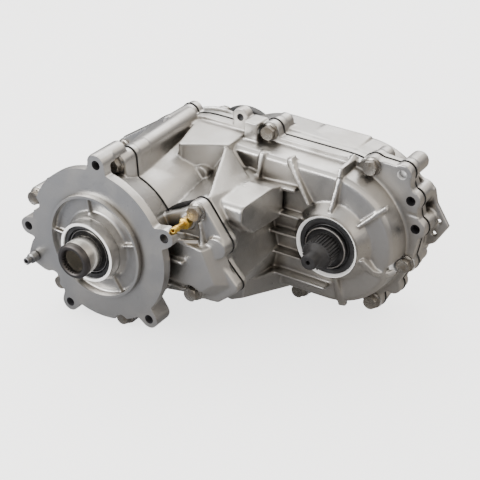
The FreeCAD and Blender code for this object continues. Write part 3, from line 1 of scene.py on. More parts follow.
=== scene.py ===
import bpy
import json
import math
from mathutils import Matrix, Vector


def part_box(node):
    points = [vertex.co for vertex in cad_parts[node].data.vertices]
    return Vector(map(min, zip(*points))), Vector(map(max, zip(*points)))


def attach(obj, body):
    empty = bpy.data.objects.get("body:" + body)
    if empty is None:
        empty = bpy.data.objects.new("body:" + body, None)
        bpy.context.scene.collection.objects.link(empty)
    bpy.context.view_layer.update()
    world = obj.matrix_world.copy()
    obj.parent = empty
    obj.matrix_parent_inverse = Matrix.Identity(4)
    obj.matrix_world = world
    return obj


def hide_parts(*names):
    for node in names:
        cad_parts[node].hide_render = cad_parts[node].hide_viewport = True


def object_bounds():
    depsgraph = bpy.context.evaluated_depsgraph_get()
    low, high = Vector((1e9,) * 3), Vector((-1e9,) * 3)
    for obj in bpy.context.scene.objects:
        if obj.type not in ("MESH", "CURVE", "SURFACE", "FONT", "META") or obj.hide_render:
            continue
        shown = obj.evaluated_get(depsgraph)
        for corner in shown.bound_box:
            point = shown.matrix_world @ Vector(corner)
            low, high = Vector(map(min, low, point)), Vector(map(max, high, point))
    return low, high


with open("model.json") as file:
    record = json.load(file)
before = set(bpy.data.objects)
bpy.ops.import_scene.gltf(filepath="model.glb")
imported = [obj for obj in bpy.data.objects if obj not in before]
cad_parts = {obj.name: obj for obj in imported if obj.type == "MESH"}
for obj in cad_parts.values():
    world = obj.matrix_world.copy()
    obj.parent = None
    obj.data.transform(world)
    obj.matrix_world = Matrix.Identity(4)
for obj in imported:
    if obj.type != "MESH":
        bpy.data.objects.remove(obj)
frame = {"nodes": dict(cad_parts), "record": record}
cadBox = [list(corner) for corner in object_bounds()]
mm = 0.001


# ---- selecting and small edits, as by hand

def deselectAll():
    bpy.ops.object.select_all(action="DESELECT")


def makeActive(piece):
    deselectAll()
    piece.select_set(True)
    bpy.context.view_layer.objects.active = piece
    return piece


def openEdit(piece):
    makeActive(piece)
    bpy.ops.object.mode_set(mode="EDIT")


def closeEdit():
    bpy.ops.object.mode_set(mode="OBJECT")


def pickFaces(piece, test):
    # selects in edit mode the faces whose centre and normal pass the test, and leaves the rest
    openEdit(piece)
    bpy.ops.mesh.select_mode(type="FACE")
    bpy.ops.mesh.select_all(action="DESELECT")
    closeEdit()
    for face in piece.data.polygons:
        face.select = test(face.center, face.normal)
    bpy.ops.object.mode_set(mode="EDIT")


def applyModifiers(piece):
    makeActive(piece)
    for modifier in list(piece.modifiers):
        bpy.ops.object.modifier_apply(modifier=modifier.name)


def joinPieces(pieces, name):
    makeActive(pieces[0])
    for piece in pieces:
        piece.select_set(True)
    if len(pieces) > 1:
        bpy.ops.object.join()
    pieces[0].name = name
    return pieces[0]


def settle(piece):
    # the object goes to the origin and its place goes into the mesh
    makeActive(piece)
    bpy.ops.object.transform_apply(location=True, rotation=True, scale=True)
    return piece


def softShade(piece, degrees=35):
    makeActive(piece)
    bpy.ops.object.shade_smooth_by_angle(angle=math.radians(degrees))


def copyNode(node, name):
    source = frame["nodes"][node]
    piece = source.copy()
    piece.data = source.data.copy()
    piece.name = name
    bpy.context.scene.collection.objects.link(piece)
    piece.parent = None
    piece.matrix_world = source.matrix_world
    openEdit(piece)
    bpy.ops.mesh.select_all(action="SELECT")
    bpy.ops.mesh.remove_doubles(threshold=0.000005)
    closeEdit()
    piece.data.materials.clear()
    return piece


def lyingRod(radius, yStart, yEnd, x=0.0, z=0.0, sides=64, tipRadius=None):
    # a cylinder or cone along Y, in millimetres
    tip = radius if tipRadius is None else tipRadius
    bpy.ops.mesh.primitive_cone_add(vertices=sides, radius1=radius * mm, radius2=tip * mm,
                                    depth=(yEnd - yStart) * mm, rotation=(-math.pi / 2, 0, 0),
                                    location=(x * mm, (yStart + yEnd) / 2 * mm, z * mm))
    return settle(bpy.context.object)


def boxBetween(low, high):
    middle = [(a + b) / 2 * mm for a, b in zip(low, high)]
    bpy.ops.mesh.primitive_cube_add(size=1, location=middle)
    bpy.context.object.scale = [(b - a) * mm for a, b in zip(low, high)]
    return settle(bpy.context.object)


def slab(yStart, yEnd):
    # a cutter over the whole object between two stations
    return boxBetween((-200, yStart, -200), (330, yEnd, 200))


def castBlock(corners):
    # a cube whose eight corners are pulled one by one to places in millimetres, X slowest and Z fastest
    bpy.ops.mesh.primitive_cube_add(size=2 * mm)
    block = bpy.context.object
    openEdit(block)
    bpy.ops.mesh.select_mode(type="VERT")
    for index, corner in enumerate(corners):
        bpy.ops.mesh.select_all(action="DESELECT")
        closeEdit()
        vertex = block.data.vertices[index]
        vertex.select = True
        move = Vector(corner) * mm - vertex.co
        bpy.ops.object.mode_set(mode="EDIT")
        bpy.ops.transform.translate(value=move)
    bpy.ops.mesh.select_all(action="SELECT")
    bpy.ops.mesh.normals_make_consistent(inside=False)
    closeEdit()
    return settle(block)


def castRib(start, end, startWidth, endWidth, back):
    # a rib whose crest runs between two (x, y, z) points, with its foot at the station back
    run = Vector((end[0] - start[0], 0, end[2] - start[2])).normalized()
    corners = []
    for side in (-1, 1):
        for deep in (False, True):
            for (x, y, z), width in ((start, startWidth), (end, endWidth)):
                offset = side * width / 2
                corners.append((x - run.z * offset, back if deep else y, z + run.x * offset))
    return castBlock(corners)


def carve(piece, cutter, operation="DIFFERENCE"):
    makeActive(piece)
    cut = piece.modifiers.new("cut", "BOOLEAN")
    cut.object = cutter
    cut.operation = operation
    cut.solver = "MANIFOLD"
    bpy.ops.object.modifier_apply(modifier=cut.name)
    bpy.data.objects.remove(cutter, do_unlink=True)


def ringRod(outer, inner, yStart, yEnd, x=0.0, z=0.0, sides=96):
    ring = lyingRod(outer, yStart, yEnd, x, z, sides)
    carve(ring, lyingRod(inner, yStart - 1, yEnd + 1, x, z, sides))
    return ring


def turned(name, profile, x=0.0, z=0.0, sides=96, closed=True):
    # a ring is drawn at the first radius and station, then extruded and scaled to each next one
    radius, station = profile[0]
    bpy.ops.mesh.primitive_circle_add(vertices=sides, radius=radius * mm, rotation=(-math.pi / 2, 0, 0),
                                      location=(x * mm, station * mm, z * mm))
    piece = settle(bpy.context.object)
    piece.name = name
    openEdit(piece)
    bpy.ops.mesh.select_all(action="SELECT")
    for nextRadius, nextStation in profile[1:]:
        step = (0, (nextStation - station) * mm, 0)
        bpy.ops.mesh.extrude_edges_move(TRANSFORM_OT_translate={"value": step})
        grow = nextRadius / radius
        bpy.ops.transform.resize(value=(grow, 1, grow), center_override=(x * mm, nextStation * mm, z * mm))
        radius, station = nextRadius, nextStation
    bpy.ops.mesh.select_all(action="SELECT")
    if closed:
        bpy.ops.mesh.remove_doubles(threshold=0.000002)
    bpy.ops.mesh.normals_make_consistent(inside=False)
    closeEdit()
    return piece


def roundEdges(piece, width, degrees=25, segments=2):
    edge = piece.modifiers.new("edge", "BEVEL")
    edge.width = width * mm
    edge.segments = segments
    edge.limit_method = "ANGLE"
    edge.angle_limit = math.radians(degrees)
    applyModifiers(piece)


def bodyOf(node):
    for body, nodes in frame["record"]["behaviour"]["bodies"].items():
        if node in nodes:
            return body


def standFor(piece, slot, *nodes):
    # the new piece rides where its CAD nodes ride, takes their slot and hides them
    piece.data.materials.clear()
    piece.data.materials.append(finishes[slot])
    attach(piece, bodyOf(nodes[0]))
    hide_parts(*nodes)
    return piece


# ---- camera

view = {"azimuth": 33.807, "elevation": 30.492, "distance": 1.239, "target": (0.100, 0.060, 0.0),
        "lens": 87.45, "shiftX": 0.0711, "shiftY": 0.0175}


def placeCamera():
    turn, rise = math.radians(view["azimuth"]), math.radians(view["elevation"])
    away = Vector((math.sin(turn) * math.cos(rise), -math.cos(turn) * math.cos(rise), math.sin(rise)))
    bpy.ops.object.camera_add(location=Vector(view["target"]) + away * view["distance"])
    camera = bpy.context.object
    camera.rotation_euler = away.to_track_quat("Z", "Y").to_euler()
    camera.data.lens = view["lens"]
    camera.data.sensor_width = 36
    camera.data.shift_x = view["shiftX"]
    camera.data.shift_y = view["shiftY"]
    camera.data.clip_start = 0.01
    bpy.context.scene.camera = camera


placeCamera()
print("camera placed")


# ---- shader maths written as plain sums

class Wire:
    # one output socket of a recipe's node tree
    def __init__(self, recipe, socket):
        self.recipe = recipe
        self.socket = socket

    def math(self, operation, first, second):
        return self.recipe.node("ShaderNodeMath", {"operation": operation}, {0: first, 1: second})

    def __add__(self, other):
        return self.math("ADD", self, other)

    def __radd__(self, other):
        return self.math("ADD", other, self)

    def __sub__(self, other):
        return self.math("SUBTRACT", self, other)

    def __rsub__(self, other):
        return self.math("SUBTRACT", other, self)

    def __mul__(self, other):
        return self.math("MULTIPLY", self, other)

    def __rmul__(self, other):
        return self.math("MULTIPLY", other, self)


class Recipe:
    # a material and the nodes that feed its shader
    def __init__(self, name):
        self.material = bpy.data.materials.new(name)
        self.material.use_nodes = True
        self.tree = self.material.node_tree
        self.shader = self.tree.nodes["Principled BSDF"]

    def feed(self, socket, value):
        if isinstance(value, Wire):
            self.tree.links.new(value.socket, socket)
        else:
            socket.default_value = value

    def node(self, kind, settings=None, inputs=None, out=0):
        made = self.tree.nodes.new(kind)
        for key, value in (settings or {}).items():
            if key == "stops":
                ramp = made.color_ramp
                while len(ramp.elements) < len(value):
                    ramp.elements.new(0.5)
                for element, (place, colour) in zip(ramp.elements, value):
                    element.position = place
                    element.color = colour
            else:
                setattr(made, key, value)
        for key, value in (inputs or {}).items():
            self.feed(made.inputs[key], value)
        return Wire(self, made.outputs[out])

    def place(self, stretch=(1, 1, 1)):
        where = self.node("ShaderNodeTexCoord", out="Object")
        return self.node("ShaderNodeMapping", {}, {"Vector": where, "Scale": stretch})

    def along(self, axis):
        where = self.node("ShaderNodeTexCoord", out="Object")
        return self.node("ShaderNodeSeparateXYZ", {}, {0: where}, axis)

    def noise(self, scale, detail=3.0, stretch=(1, 1, 1), rough=0.55):
        return self.node("ShaderNodeTexNoise", {}, {"Vector": self.place(stretch), "Scale": scale,
                                                    "Detail": detail, "Roughness": rough}, "Fac")

    def band(self, value, low, high):
        # 0 below low, 1 above high, smooth between
        return self.node("ShaderNodeMapRange", {"interpolation_type": "SMOOTHSTEP"},
                         {"Value": value, "From Min": low, "From Max": high})

    def blend(self, factor, first, second):
        return self.node("ShaderNodeMix", {"data_type": "RGBA"}, {0: factor, 6: first, 7: second}, 2)

    # ambient occlusion, used to paint shade into recesses and creases
    def occlusionForShade(self, distance):
        return self.node("ShaderNodeAmbientOcclusion", {"samples": 8}, {"Distance": distance}, "AO")

    def bump(self, height, distance, strength=1.0):
        return self.node("ShaderNodeBump", {}, {"Height": height, "Distance": distance,
                                                "Strength": strength})

    def finish(self, **sockets):
        for name, value in sockets.items():
            self.feed(self.shader.inputs[name.replace("_", " ")], value)
        return self.material


def tint(red, green, blue):
    return (red, green, blue, 1)


# the dark brown tint is painted shade, laid into recesses and creases
castLook = {"light": tint(0.60, 0.59, 0.575), "warm": tint(0.50, 0.475, 0.44),
            "paintedNookShade": tint(0.13, 0.115, 0.095), "roughness": 0.22, "grain": 0.00009, "wave": 0.0005}


def castAluminium():
    recipe = Recipe("castAluminium")
    patches = recipe.band(recipe.noise(26, 4), 0.38, 0.70)
    grain = recipe.noise(1500, 2)
    speck = recipe.noise(420, 3)
    # painted shade: the colour turns dark brown where ambient occlusion finds recesses and creases
    deep = 1 - recipe.band(recipe.occlusionForShade(0.018), 0.30, 0.90)
    colour = recipe.blend(patches * 0.55, castLook["light"], castLook["warm"])
    colour = recipe.blend(deep * (0.70 + 0.25 * patches), colour, castLook["paintedNookShade"])
    rough = castLook["roughness"] + 0.12 * patches + 0.16 * speck
    swell = recipe.noise(90, 2)
    wavy = recipe.bump(swell, castLook["wave"], 0.25)
    skin = recipe.node("ShaderNodeBump", {}, {"Height": grain * 0.5 + speck, "Distance": castLook["grain"],
                                              "Strength": 0.8, "Normal": wavy})
    return recipe.finish(Base_Color=colour, Metallic=1.0, Roughness=rough, Normal=skin)


milledLook = {"light": tint(0.80, 0.80, 0.80), "dull": tint(0.72, 0.72, 0.705), "roughness": 0.40}


def milledAluminium():
    recipe = Recipe("milledAluminium")
    clouds = recipe.noise(38, 5)
    lines = recipe.noise(60, 2, (1, 1, 40))
    cutter = recipe.noise(900, 1, (1, 1, 0.06))
    colour = recipe.blend(recipe.band(clouds, 0.35, 0.75), milledLook["light"], milledLook["dull"])
    # painted shade: holes and recesses found by ambient occlusion turn near black
    deep = 1 - recipe.band(recipe.occlusionForShade(0.006), 0.25, 0.85)
    colour = recipe.blend(deep * 0.9, colour, tint(0.10, 0.10, 0.11))
    rough = milledLook["roughness"] + 0.10 * clouds + 0.06 * lines
    marks = recipe.bump(cutter, 0.00002, 0.5)
    return recipe.finish(Base_Color=colour, Metallic=0.15, Roughness=rough, Normal=marks)


def steelFinish(name, light, dark, roughness, spread=0.15, ringScale=0.0, bumpDepth=0.00001):
    # steel with mottled tone, and turning marks along Y where ringScale isn't 0
    recipe = Recipe(name)
    mottle = recipe.noise(110, 4)
    fine = recipe.noise(1800, 2)
    colour = recipe.blend(recipe.band(mottle, 0.3, 0.7), light, dark)
    rough = roughness + spread * (mottle - 0.5) + 0.08 * fine
    height = fine
    if ringScale:
        height = recipe.noise(ringScale, 2, (0.03, 1, 0.03)) * 2 + fine * 0.3
    return recipe.finish(Base_Color=colour, Metallic=1.0, Roughness=rough,
                         Normal=recipe.bump(height, bumpDepth, 0.8))


def inputSteel():
    # bright ground steel with a darker hardened band at its end
    recipe = Recipe("inputShaftSteel")
    station = recipe.along("Y")
    mottle = recipe.noise(150, 4)
    band = 1 - recipe.band(station + 0.0016 * (mottle - 0.5), -0.0352, -0.0344)
    rings = recipe.noise(2600, 2, (0.02, 1, 0.02))
    bright = recipe.blend(mottle, tint(0.76, 0.74, 0.70), tint(0.60, 0.58, 0.54))
    burnt = recipe.blend(mottle, tint(0.14, 0.13, 0.125), tint(0.075, 0.07, 0.068))
    colour = recipe.blend(band, bright, burnt)
    rough = 0.17 + 0.12 * mottle + 0.18 * band
    return recipe.finish(Base_Color=colour, Metallic=1.0, Roughness=rough,
                         Normal=recipe.bump(rings, 0.00001, 0.6))


def boltSteel():
    # zinc plate gone brown and grey with handling
    recipe = Recipe("boltSteel")
    stain = recipe.band(recipe.noise(95, 5), 0.42, 0.68)
    spots = recipe.band(recipe.noise(520, 3), 0.56, 0.72)
    colour = recipe.blend(stain, tint(0.34, 0.325, 0.30), tint(0.22, 0.195, 0.165))
    colour = recipe.blend(spots * 0.6, colour, tint(0.12, 0.09, 0.07))
    rough = 0.26 + 0.18 * stain + 0.20 * spots
    return recipe.finish(Base_Color=colour, Metallic=0.95, Roughness=rough,
                         Normal=recipe.bump(spots + recipe.noise(900, 2), 0.00003, 0.7))


def matteFinish(name, base, roughness, grainScale=900, grain=0.00002, metallic=0.0, shift=0.25):
    recipe = Recipe(name)
    mottle = recipe.noise(70, 4)
    fine = recipe.noise(grainScale, 3)
    lifted = tint(*[min(1, c * (1 + 2 * shift) + 0.01) for c in base[:3]])
    colour = recipe.blend(recipe.band(mottle, 0.35, 0.8), base, lifted)
    rough = roughness + 0.14 * (mottle - 0.5) + 0.10 * fine
    return recipe.finish(Base_Color=colour, Metallic=metallic, Roughness=rough,
                         Normal=recipe.bump(fine, grain, 0.8))


def brassFinish():
    recipe = Recipe("brassFitting")
    mottle = recipe.noise(130, 4)
    rings = recipe.noise(2200, 2, (0.05, 1, 0.05))
    colour = recipe.blend(mottle, tint(0.88, 0.60, 0.13), tint(0.70, 0.44, 0.08))
    return recipe.finish(Base_Color=colour, Metallic=1.0, Roughness=0.24 + 0.2 * mottle,
                         Normal=recipe.bump(rings, 0.00001, 0.5))


finishes = {
    "cast_aluminium": castAluminium(),
    "sealant_black": matteFinish("sealantBlack", tint(0.010, 0.010, 0.011), 0.42, 300, 0.00008),
    "bolt_steel": boltSteel(),
    "seal_rubber": matteFinish("sealRubber", tint(0.012, 0.012, 0.013), 0.38),
    "bearing_steel": steelFinish("bearingSteel", tint(0.62, 0.62, 0.63), tint(0.50, 0.50, 0.52), 0.18, 0.08,
                                 2400),
    "gear_steel": steelFinish("gearSteel", tint(0.42, 0.41, 0.40), tint(0.30, 0.29, 0.28), 0.34, 0.15),
    "ground_steel": inputSteel(),
    "phosphated_steel": matteFinish("phosphatedSteel", tint(0.042, 0.041, 0.042), 0.44, 1400, 0.00002,
                                    0.75),
    "brass": brassFinish(),
    "black_paint": matteFinish("blackPaint", tint(0.014, 0.014, 0.015), 0.35, 700, 0.00003),
    "chain_steel": steelFinish("chainSteel", tint(0.30, 0.30, 0.30), tint(0.20, 0.20, 0.20), 0.36),
    "sensor_plastic": matteFinish("sensorPlastic", tint(0.020, 0.020, 0.021), 0.5, 1100, 0.00003),
    "fork_alloy": matteFinish("forkAlloy", tint(0.58, 0.57, 0.56), 0.42, 800, 0.00003, 1.0, 0.08),
    "magnet_iron": matteFinish("magnetIron", tint(0.09, 0.09, 0.095), 0.5, 800, 0.00003, 0.8),
}
milled = milledAluminium()
# near-black bore walls: the thread's own dark and painted shade inside the holes
threadDarkAndShade = matteFinish("threadedBoreAndShade", tint(0.060, 0.060, 0.065), 0.5, 900, 0.00003, 0.6)
edgeSteel = steelFinish("edgeSteel", tint(0.62, 0.60, 0.58), tint(0.40, 0.38, 0.36), 0.3, 0.1)
shaftSteel = steelFinish("groundShaft", tint(0.55, 0.54, 0.52), tint(0.42, 0.41, 0.40), 0.24, 0.1, 2600)

slotOf = {entry["node"]: entry["material_slot"] for entry in frame["record"]["subparts"]}
for name, slot in slotOf.items():
    node = frame["nodes"][name]
    node.data.materials.clear()
    chosen = finishes[slot]
    if slot == "ground_steel" and name != "input_shaft":
        chosen = shaftSteel
    node.data.materials.append(chosen)
    softShade(node, 30)
print("materials given to", len(frame["nodes"]), "nodes")


# ---- castings: a rounded blank is made over each CAD casting and then machined

# stations of the machined planes along Y, in millimetres
planes = {"pilotFace": -6.0, "inputFace": 0.0, "adapterJoint": 50.0, "caseFront": 50.6, "bossFace": 133.0,
          "flangeFace": 180.0, "caseJoint": 190.0, "rearFront": 190.6, "rearBack": 256.6,
          "tailFront": 257.2, "tailBack": 293.2}
mountPlaces = {mount["name"]: [part / mm for part in mount["pos_m"]] for mount in frame["record"]["mounts"]}


def islandCentres(node):
    # middle of each loose part of a node in X and Z, with its lowest and highest Y, in millimetres
    piece = copyNode(node, "islands")
    openEdit(piece)
    bpy.ops.mesh.separate(type="LOOSE")
    closeEdit()
    found = []
    for part in list(bpy.context.selected_objects):
        xs, ys, zs = zip(*[tuple(v.co) for v in part.data.vertices])
        middleX, middleZ = (min(xs) + max(xs)) / 2 / mm, (min(zs) + max(zs)) / 2 / mm
        found.append((middleX, middleZ, min(ys) / mm, max(ys) / mm))
        bpy.data.objects.remove(part, do_unlink=True)
    return sorted(found)


caseBolts = islandCentres("case_bolts")
adapterBolts = islandCentres("adapter_bolts")
frontAxis = mountPlaces["front_output_spline"][0]
earPlaces = [place for name, place in mountPlaces.items() if name.startswith("flange_hole")]
lugPlaces = [(mountPlaces[name][0], mountPlaces[name][2]) for name in ("lug_hole_high", "lug_hole_low")]
eyePlace = (mountPlaces["eye_hole"][0], mountPlaces["eye_hole"][2])
blindLug = (frontAxis + 59.0, 83.0)

# a bore is filled before the skin is rounded, and cut again after it
boltSeat = {"radius": 10.6, "head": 9.0, "clear": 8.0}
lugBore = {"plug": 6.4, "radius": 5.4}
eyeBore = {"plug": 5.4, "radius": 4.4}


def stockOnFace(piece, station, direction, thickness, reach=None):
    # extra metal on a face that is machined later
    def onFace(centre, normal):
        near = reach is None or reach(centre)
        return near and abs(centre.y - station * mm) < 0.00005 and normal.y * direction > 0.99
    pickFaces(piece, onFace)
    bpy.ops.mesh.extrude_region_move(TRANSFORM_OT_translate={"value": (0, direction * thickness * mm, 0)})
    closeEdit()


def castSkin(piece, voxel, smoothing, keep):
    makeActive(piece)
    skin = piece.modifiers.new("skin", "REMESH")
    skin.mode = "VOXEL"
    skin.voxel_size = voxel * mm
    bpy.ops.object.modifier_apply(modifier=skin.name)
    openEdit(piece)
    bpy.ops.mesh.select_all(action="SELECT")
    bpy.ops.mesh.vertices_smooth(factor=0.5, repeat=smoothing)
    closeEdit()
    thin = piece.modifiers.new("thin", "DECIMATE")
    thin.ratio = keep
    bpy.ops.object.modifier_apply(modifier=thin.name)


def machine(piece, cutters, bores=()):
    # the cutters' faces leave the milled look behind, and the bores' faces a near-black finish: partly the
    # thread's own dark and partly painted shade inside the hole
    looks = (finishes["cast_aluminium"], milled, threadDarkAndShade)
    for look in looks:
        piece.data.materials.append(look)
    for number, tools in ((1, cutters), (2, bores)):
        for cutter in tools:
            for look in looks:
                cutter.data.materials.append(look)
            for face in cutter.data.polygons:
                face.material_index = number
            carve(piece, cutter)
    softShade(piece, 40)
    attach(piece, "housing")


housingCasting = {"voxel": 1.1, "smoothing": 4, "keep": 0.3, "stock": 1.5, "outside": 150.0, "pilot": 60.0,
                  "collarFront": -18.0, "collarRim": 34.0, "collarFoot": 37.5, "collarBack": 5.8,
                  "sealBore": 31.0, "sealBoreEnd": 6.0, "pocketFloor": 3.0, "pocketBack": 9.5,
                  "pocketRadius": 57.5, "earPlug": 6.3, "earBore": 5.25,
                  "topBoss": {"radius": 10.5, "front": 1.0, "back": 42.0, "x": -2, "z": 1}}


def makeInputHousing():
    casting, front, rim = housingCasting, housingCasting["collarFront"], housingCasting["collarRim"]
    piece = copyNode("input_housing", "cast_input_housing")
    for plane, direction in (("inputFace", -1), ("pilotFace", -1), ("adapterJoint", 1)):
        stockOnFace(piece, planes[plane], direction, casting["stock"])
    plugs = [lyingRod(casting["earPlug"], 0.2, 2 * y - 0.2, x, z) for x, y, z in earPlaces]
    plugs.append(lyingRod(rim, front - 1.2, casting["collarBack"], sides=96,
                          tipRadius=casting["collarFoot"]))
    plugs.append(lyingRod(casting["pocketRadius"], casting["pocketFloor"], casting["pocketBack"], sides=96))
    # the boss of the top ear runs back beside the bolt
    boss, topEar = casting["topBoss"], max(earPlaces, key=lambda place: place[2])
    plugs.append(lyingRod(boss["radius"], boss["front"], boss["back"], topEar[0] + boss["x"],
                          topEar[2] + boss["z"]))
    piece = joinPieces([piece] + plugs, piece.name)
    castSkin(piece, casting["voxel"], casting["smoothing"], casting["keep"])
    # flange face, pilot face, the collar's front, the seal's bore and the joint, then holes and seats
    ahead = front - 12
    cutters = [ringRod(casting["outside"], casting["pilot"], ahead, planes["inputFace"]),
               ringRod(casting["pilot"] + 1, rim + 1.5, ahead, planes["pilotFace"]),
               lyingRod(rim + 3, ahead, front),
               lyingRod(casting["sealBore"], ahead, casting["sealBoreEnd"], sides=96),
               slab(planes["adapterJoint"], 70)]
    bores = [lyingRod(casting["earBore"], -5, 40, x, z, 48) for x, y, z in earPlaces]
    cutters += [lyingRod(boltSeat["radius"], low - boltSeat["clear"], low + boltSeat["head"], x, z, 48)
                for x, z, low, high in adapterBolts]
    machine(piece, cutters, bores)
    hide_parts("input_housing")
    print("input housing", len(piece.data.polygons))


frontCasting = {"voxel": 1.1, "smoothing": 4, "keep": 0.22, "stock": 1.5, "flangeStock": 0.7,
                "finCrest": ((68.5, 149, 82), (109.5, 51.5, 68)),
                "finFoot": ((113, 130, 53), (129, 51.5, 43)),
                "curve": ((243, 137, -7), (256, 143, -21), (268, 152, -25), (280, 166, -17)),
                "curveWidth": 7, "curveFoot": 176,
                "brow": (((208, 148, 84), (205, 181, 90)), ((208, 146, 78), (208, 149, 88))),
                "browWidth": 5, "browFoot": 184,
                "lugWeb": {"left": 14, "right": 5, "half": 9, "front": 180.2, "back": 189.5},
                "boss": 42.0, "bossPlug": 34.0, "sealBore": 32.8, "sealBoreEnd": 143.0,
                "mouth": 37.3, "mouthFront": 131.0, "mouthBack": 136.0, "throat": 32.6}


def frontForms():
    # the tall fin between lobe and wall, the curved rib right of the boss, and the rib over the brow
    casting = frontCasting
    (ax, ay, az), (bx, by, bz) = casting["finCrest"]
    (cx, cy, cz), (dx, dy, dz) = casting["finFoot"]
    forms = [castBlock([(bx - 3, by, dz), (bx - 1, by, bz), (ax - 3, ay, cz), (ax - 1, ay, az),
                        (dx, dy, dz), (bx + 1, by, bz - 0.5), (cx, cy, cz), (ax + 1, ay, az - 0.5)])]
    for start, end in zip(casting["curve"], casting["curve"][1:]):
        forms.append(castRib(start, end, casting["curveWidth"], casting["curveWidth"],
                             casting["curveFoot"]))
    for start, end in casting["brow"]:
        forms.append(castRib(start, end, casting["browWidth"], casting["browWidth"], casting["browFoot"]))
    # the flange is broad between the lugs
    web, lugs = casting["lugWeb"], [blindLug] + lugPlaces
    for start, end in zip(lugs, lugs[1:]):
        middle = Vector(((start[0] + end[0]) / 2, (start[1] + end[1]) / 2))
        forms.append(boxBetween((middle.x - web["left"], web["front"], middle.y - web["half"]),
                                (middle.x + web["right"], web["back"], middle.y + web["half"])))
    return forms


def makeFrontCase():
    casting, face = frontCasting, planes["bossFace"]
    piece = copyNode("front_case", "cast_front_case")
    stockOnFace(piece, planes["caseFront"], -1, casting["stock"])
    stockOnFace(piece, planes["caseJoint"], 1, casting["stock"])
    stockOnFace(piece, planes["flangeFace"], -1, casting["flangeStock"])
    stockOnFace(piece, face, -1, casting["stock"])
    plugStart, plugEnd = planes["flangeFace"] - 0.5, planes["caseJoint"] + 0.4
    plugs = [lyingRod(lugBore["plug"], plugStart, plugEnd, x, z) for x, z in lugPlaces]
    plugs.append(lyingRod(lugBore["plug"], plugStart, 188, *blindLug))
    plugs.append(lyingRod(eyeBore["plug"], plugStart, plugEnd, *eyePlace))
    plugs.append(lyingRod(casting["bossPlug"], face - 0.5, casting["sealBoreEnd"] - 0.2, frontAxis))
    piece = joinPieces([piece] + plugs + frontForms(), piece.name)
    castSkin(piece, casting["voxel"], casting["smoothing"], casting["keep"])
    # both joints, the boss face, the seal's bore with its wide mouth, then seats and holes
    cutters = [slab(20, planes["caseFront"]), slab(planes["caseJoint"], 210),
               lyingRod(casting["boss"], 120, face, frontAxis, 0, 128),
               lyingRod(casting["sealBore"], 120, casting["sealBoreEnd"], frontAxis, 0, 128),
               lyingRod(casting["mouth"], casting["mouthFront"], casting["mouthBack"], frontAxis, 0, 128,
                        casting["throat"])]
    cutters += [lyingRod(boltSeat["radius"], 160, planes["flangeFace"], x, z, 48)
                for x, z, low, high in caseBolts]
    bores = [lyingRod(lugBore["radius"], 170, 200, x, z, 48) for x, z in lugPlaces]
    cutters.append(lyingRod(lugBore["radius"], 170, 186, *blindLug, 48))
    bores.append(lyingRod(eyeBore["radius"], 170, 200, *eyePlace, 48))
    machine(piece, cutters, bores)
    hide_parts("front_case")
    print("front case", len(piece.data.polygons))


rearCasting = {"voxel": 1.2, "smoothing": 5, "keep": 0.22, "stock": 1.5, "padStock": 1.2, "tailPad": 76.0,
               "lugBack": 216.4,
               "shoulder": {"x": 30.0, "front": 230.6, "back": 248.6, "wide": 74.0, "narrow": 62.0,
                            "inside": 56.0, "left": -16, "right": 62, "low": 42, "high": 80},
               "bridge": {"x": (28, 62), "rise": (0.0, 1.0), "outline": ((231, 73.7), (247, 63.1)),
                          "wall": 9}}


def shoulderWalls():
    # the wall over the inner room's far corner, above and below the shaft, is a full thickness here
    shape, bridge = rearCasting["shoulder"], rearCasting["bridge"]
    front, back = shape["front"], shape["back"]
    walls = []
    for low, high in ((shape["low"], shape["high"]), (-shape["high"], -shape["low"])):
        wall = lyingRod(shape["wide"], front, back, shape["x"], sides=128, tipRadius=shape["narrow"])
        carve(wall, lyingRod(shape["inside"], front - 1, back + 1, shape["x"], sides=128))
        window = boxBetween((shape["left"], front - 2, low), (shape["right"], back + 2, high))
        carve(wall, window, "INTERSECT")
        walls.append(wall)
    for side in (1, -1):
        corners = []
        for x, rise in zip(bridge["x"], bridge["rise"]):
            for y, outer in bridge["outline"]:
                ends = (side * (outer + rise - bridge["wall"]), side * (outer + rise))
                corners += [(x, y, z) for z in sorted(ends)]
        walls.append(castBlock(corners))
    return walls


def makeRearCase():
    casting = rearCasting
    piece = copyNode("rear_case", "cast_rear_case")
    stockOnFace(piece, planes["rearFront"], -1, casting["stock"])
    stockOnFace(piece, planes["rearBack"], 1, casting["padStock"], lambda p: math.hypot(p.x, p.z) < 0.07)
    plugStart = planes["rearFront"] - 0.4
    plugs = [lyingRod(lugBore["plug"], plugStart, casting["lugBack"], x, z) for x, z in lugPlaces]
    piece = joinPieces([piece] + plugs + shoulderWalls(), piece.name)
    castSkin(piece, casting["voxel"], casting["smoothing"], casting["keep"])
    cutters = [slab(160, planes["rearFront"]),
               lyingRod(casting["tailPad"], planes["rearBack"], 270, sides=128)]
    machine(piece, cutters, [lyingRod(lugBore["radius"], 180, 240, x, z, 48) for x, z in lugPlaces])
    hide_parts("rear_case")
    print("rear case", len(piece.data.polygons))


tailCasting = {"voxel": 0.9, "smoothing": 4, "keep": 0.35, "stock": 1.2}


def makeTailHousing():
    casting = tailCasting
    piece = copyNode("tail_housing", "cast_tail_housing")
    stockOnFace(piece, planes["tailFront"], -1, casting["stock"])
    stockOnFace(piece, planes["tailBack"], 1, casting["stock"])
    castSkin(piece, casting["voxel"], casting["smoothing"], casting["keep"])
    machine(piece, [slab(240, planes["tailFront"]), slab(planes["tailBack"], 300)])
    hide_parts("tail_housing")
    print("tail housing", len(piece.data.polygons))


makeInputHousing()
makeFrontCase()
makeRearCase()
makeTailHousing()


# ---- flanged bolts

boltShape = {"flats": 15.0, "flange": 10.0, "head": boltSeat["head"], "dish": 0.35, "inset": 1.1,
             "edge": 0.35}


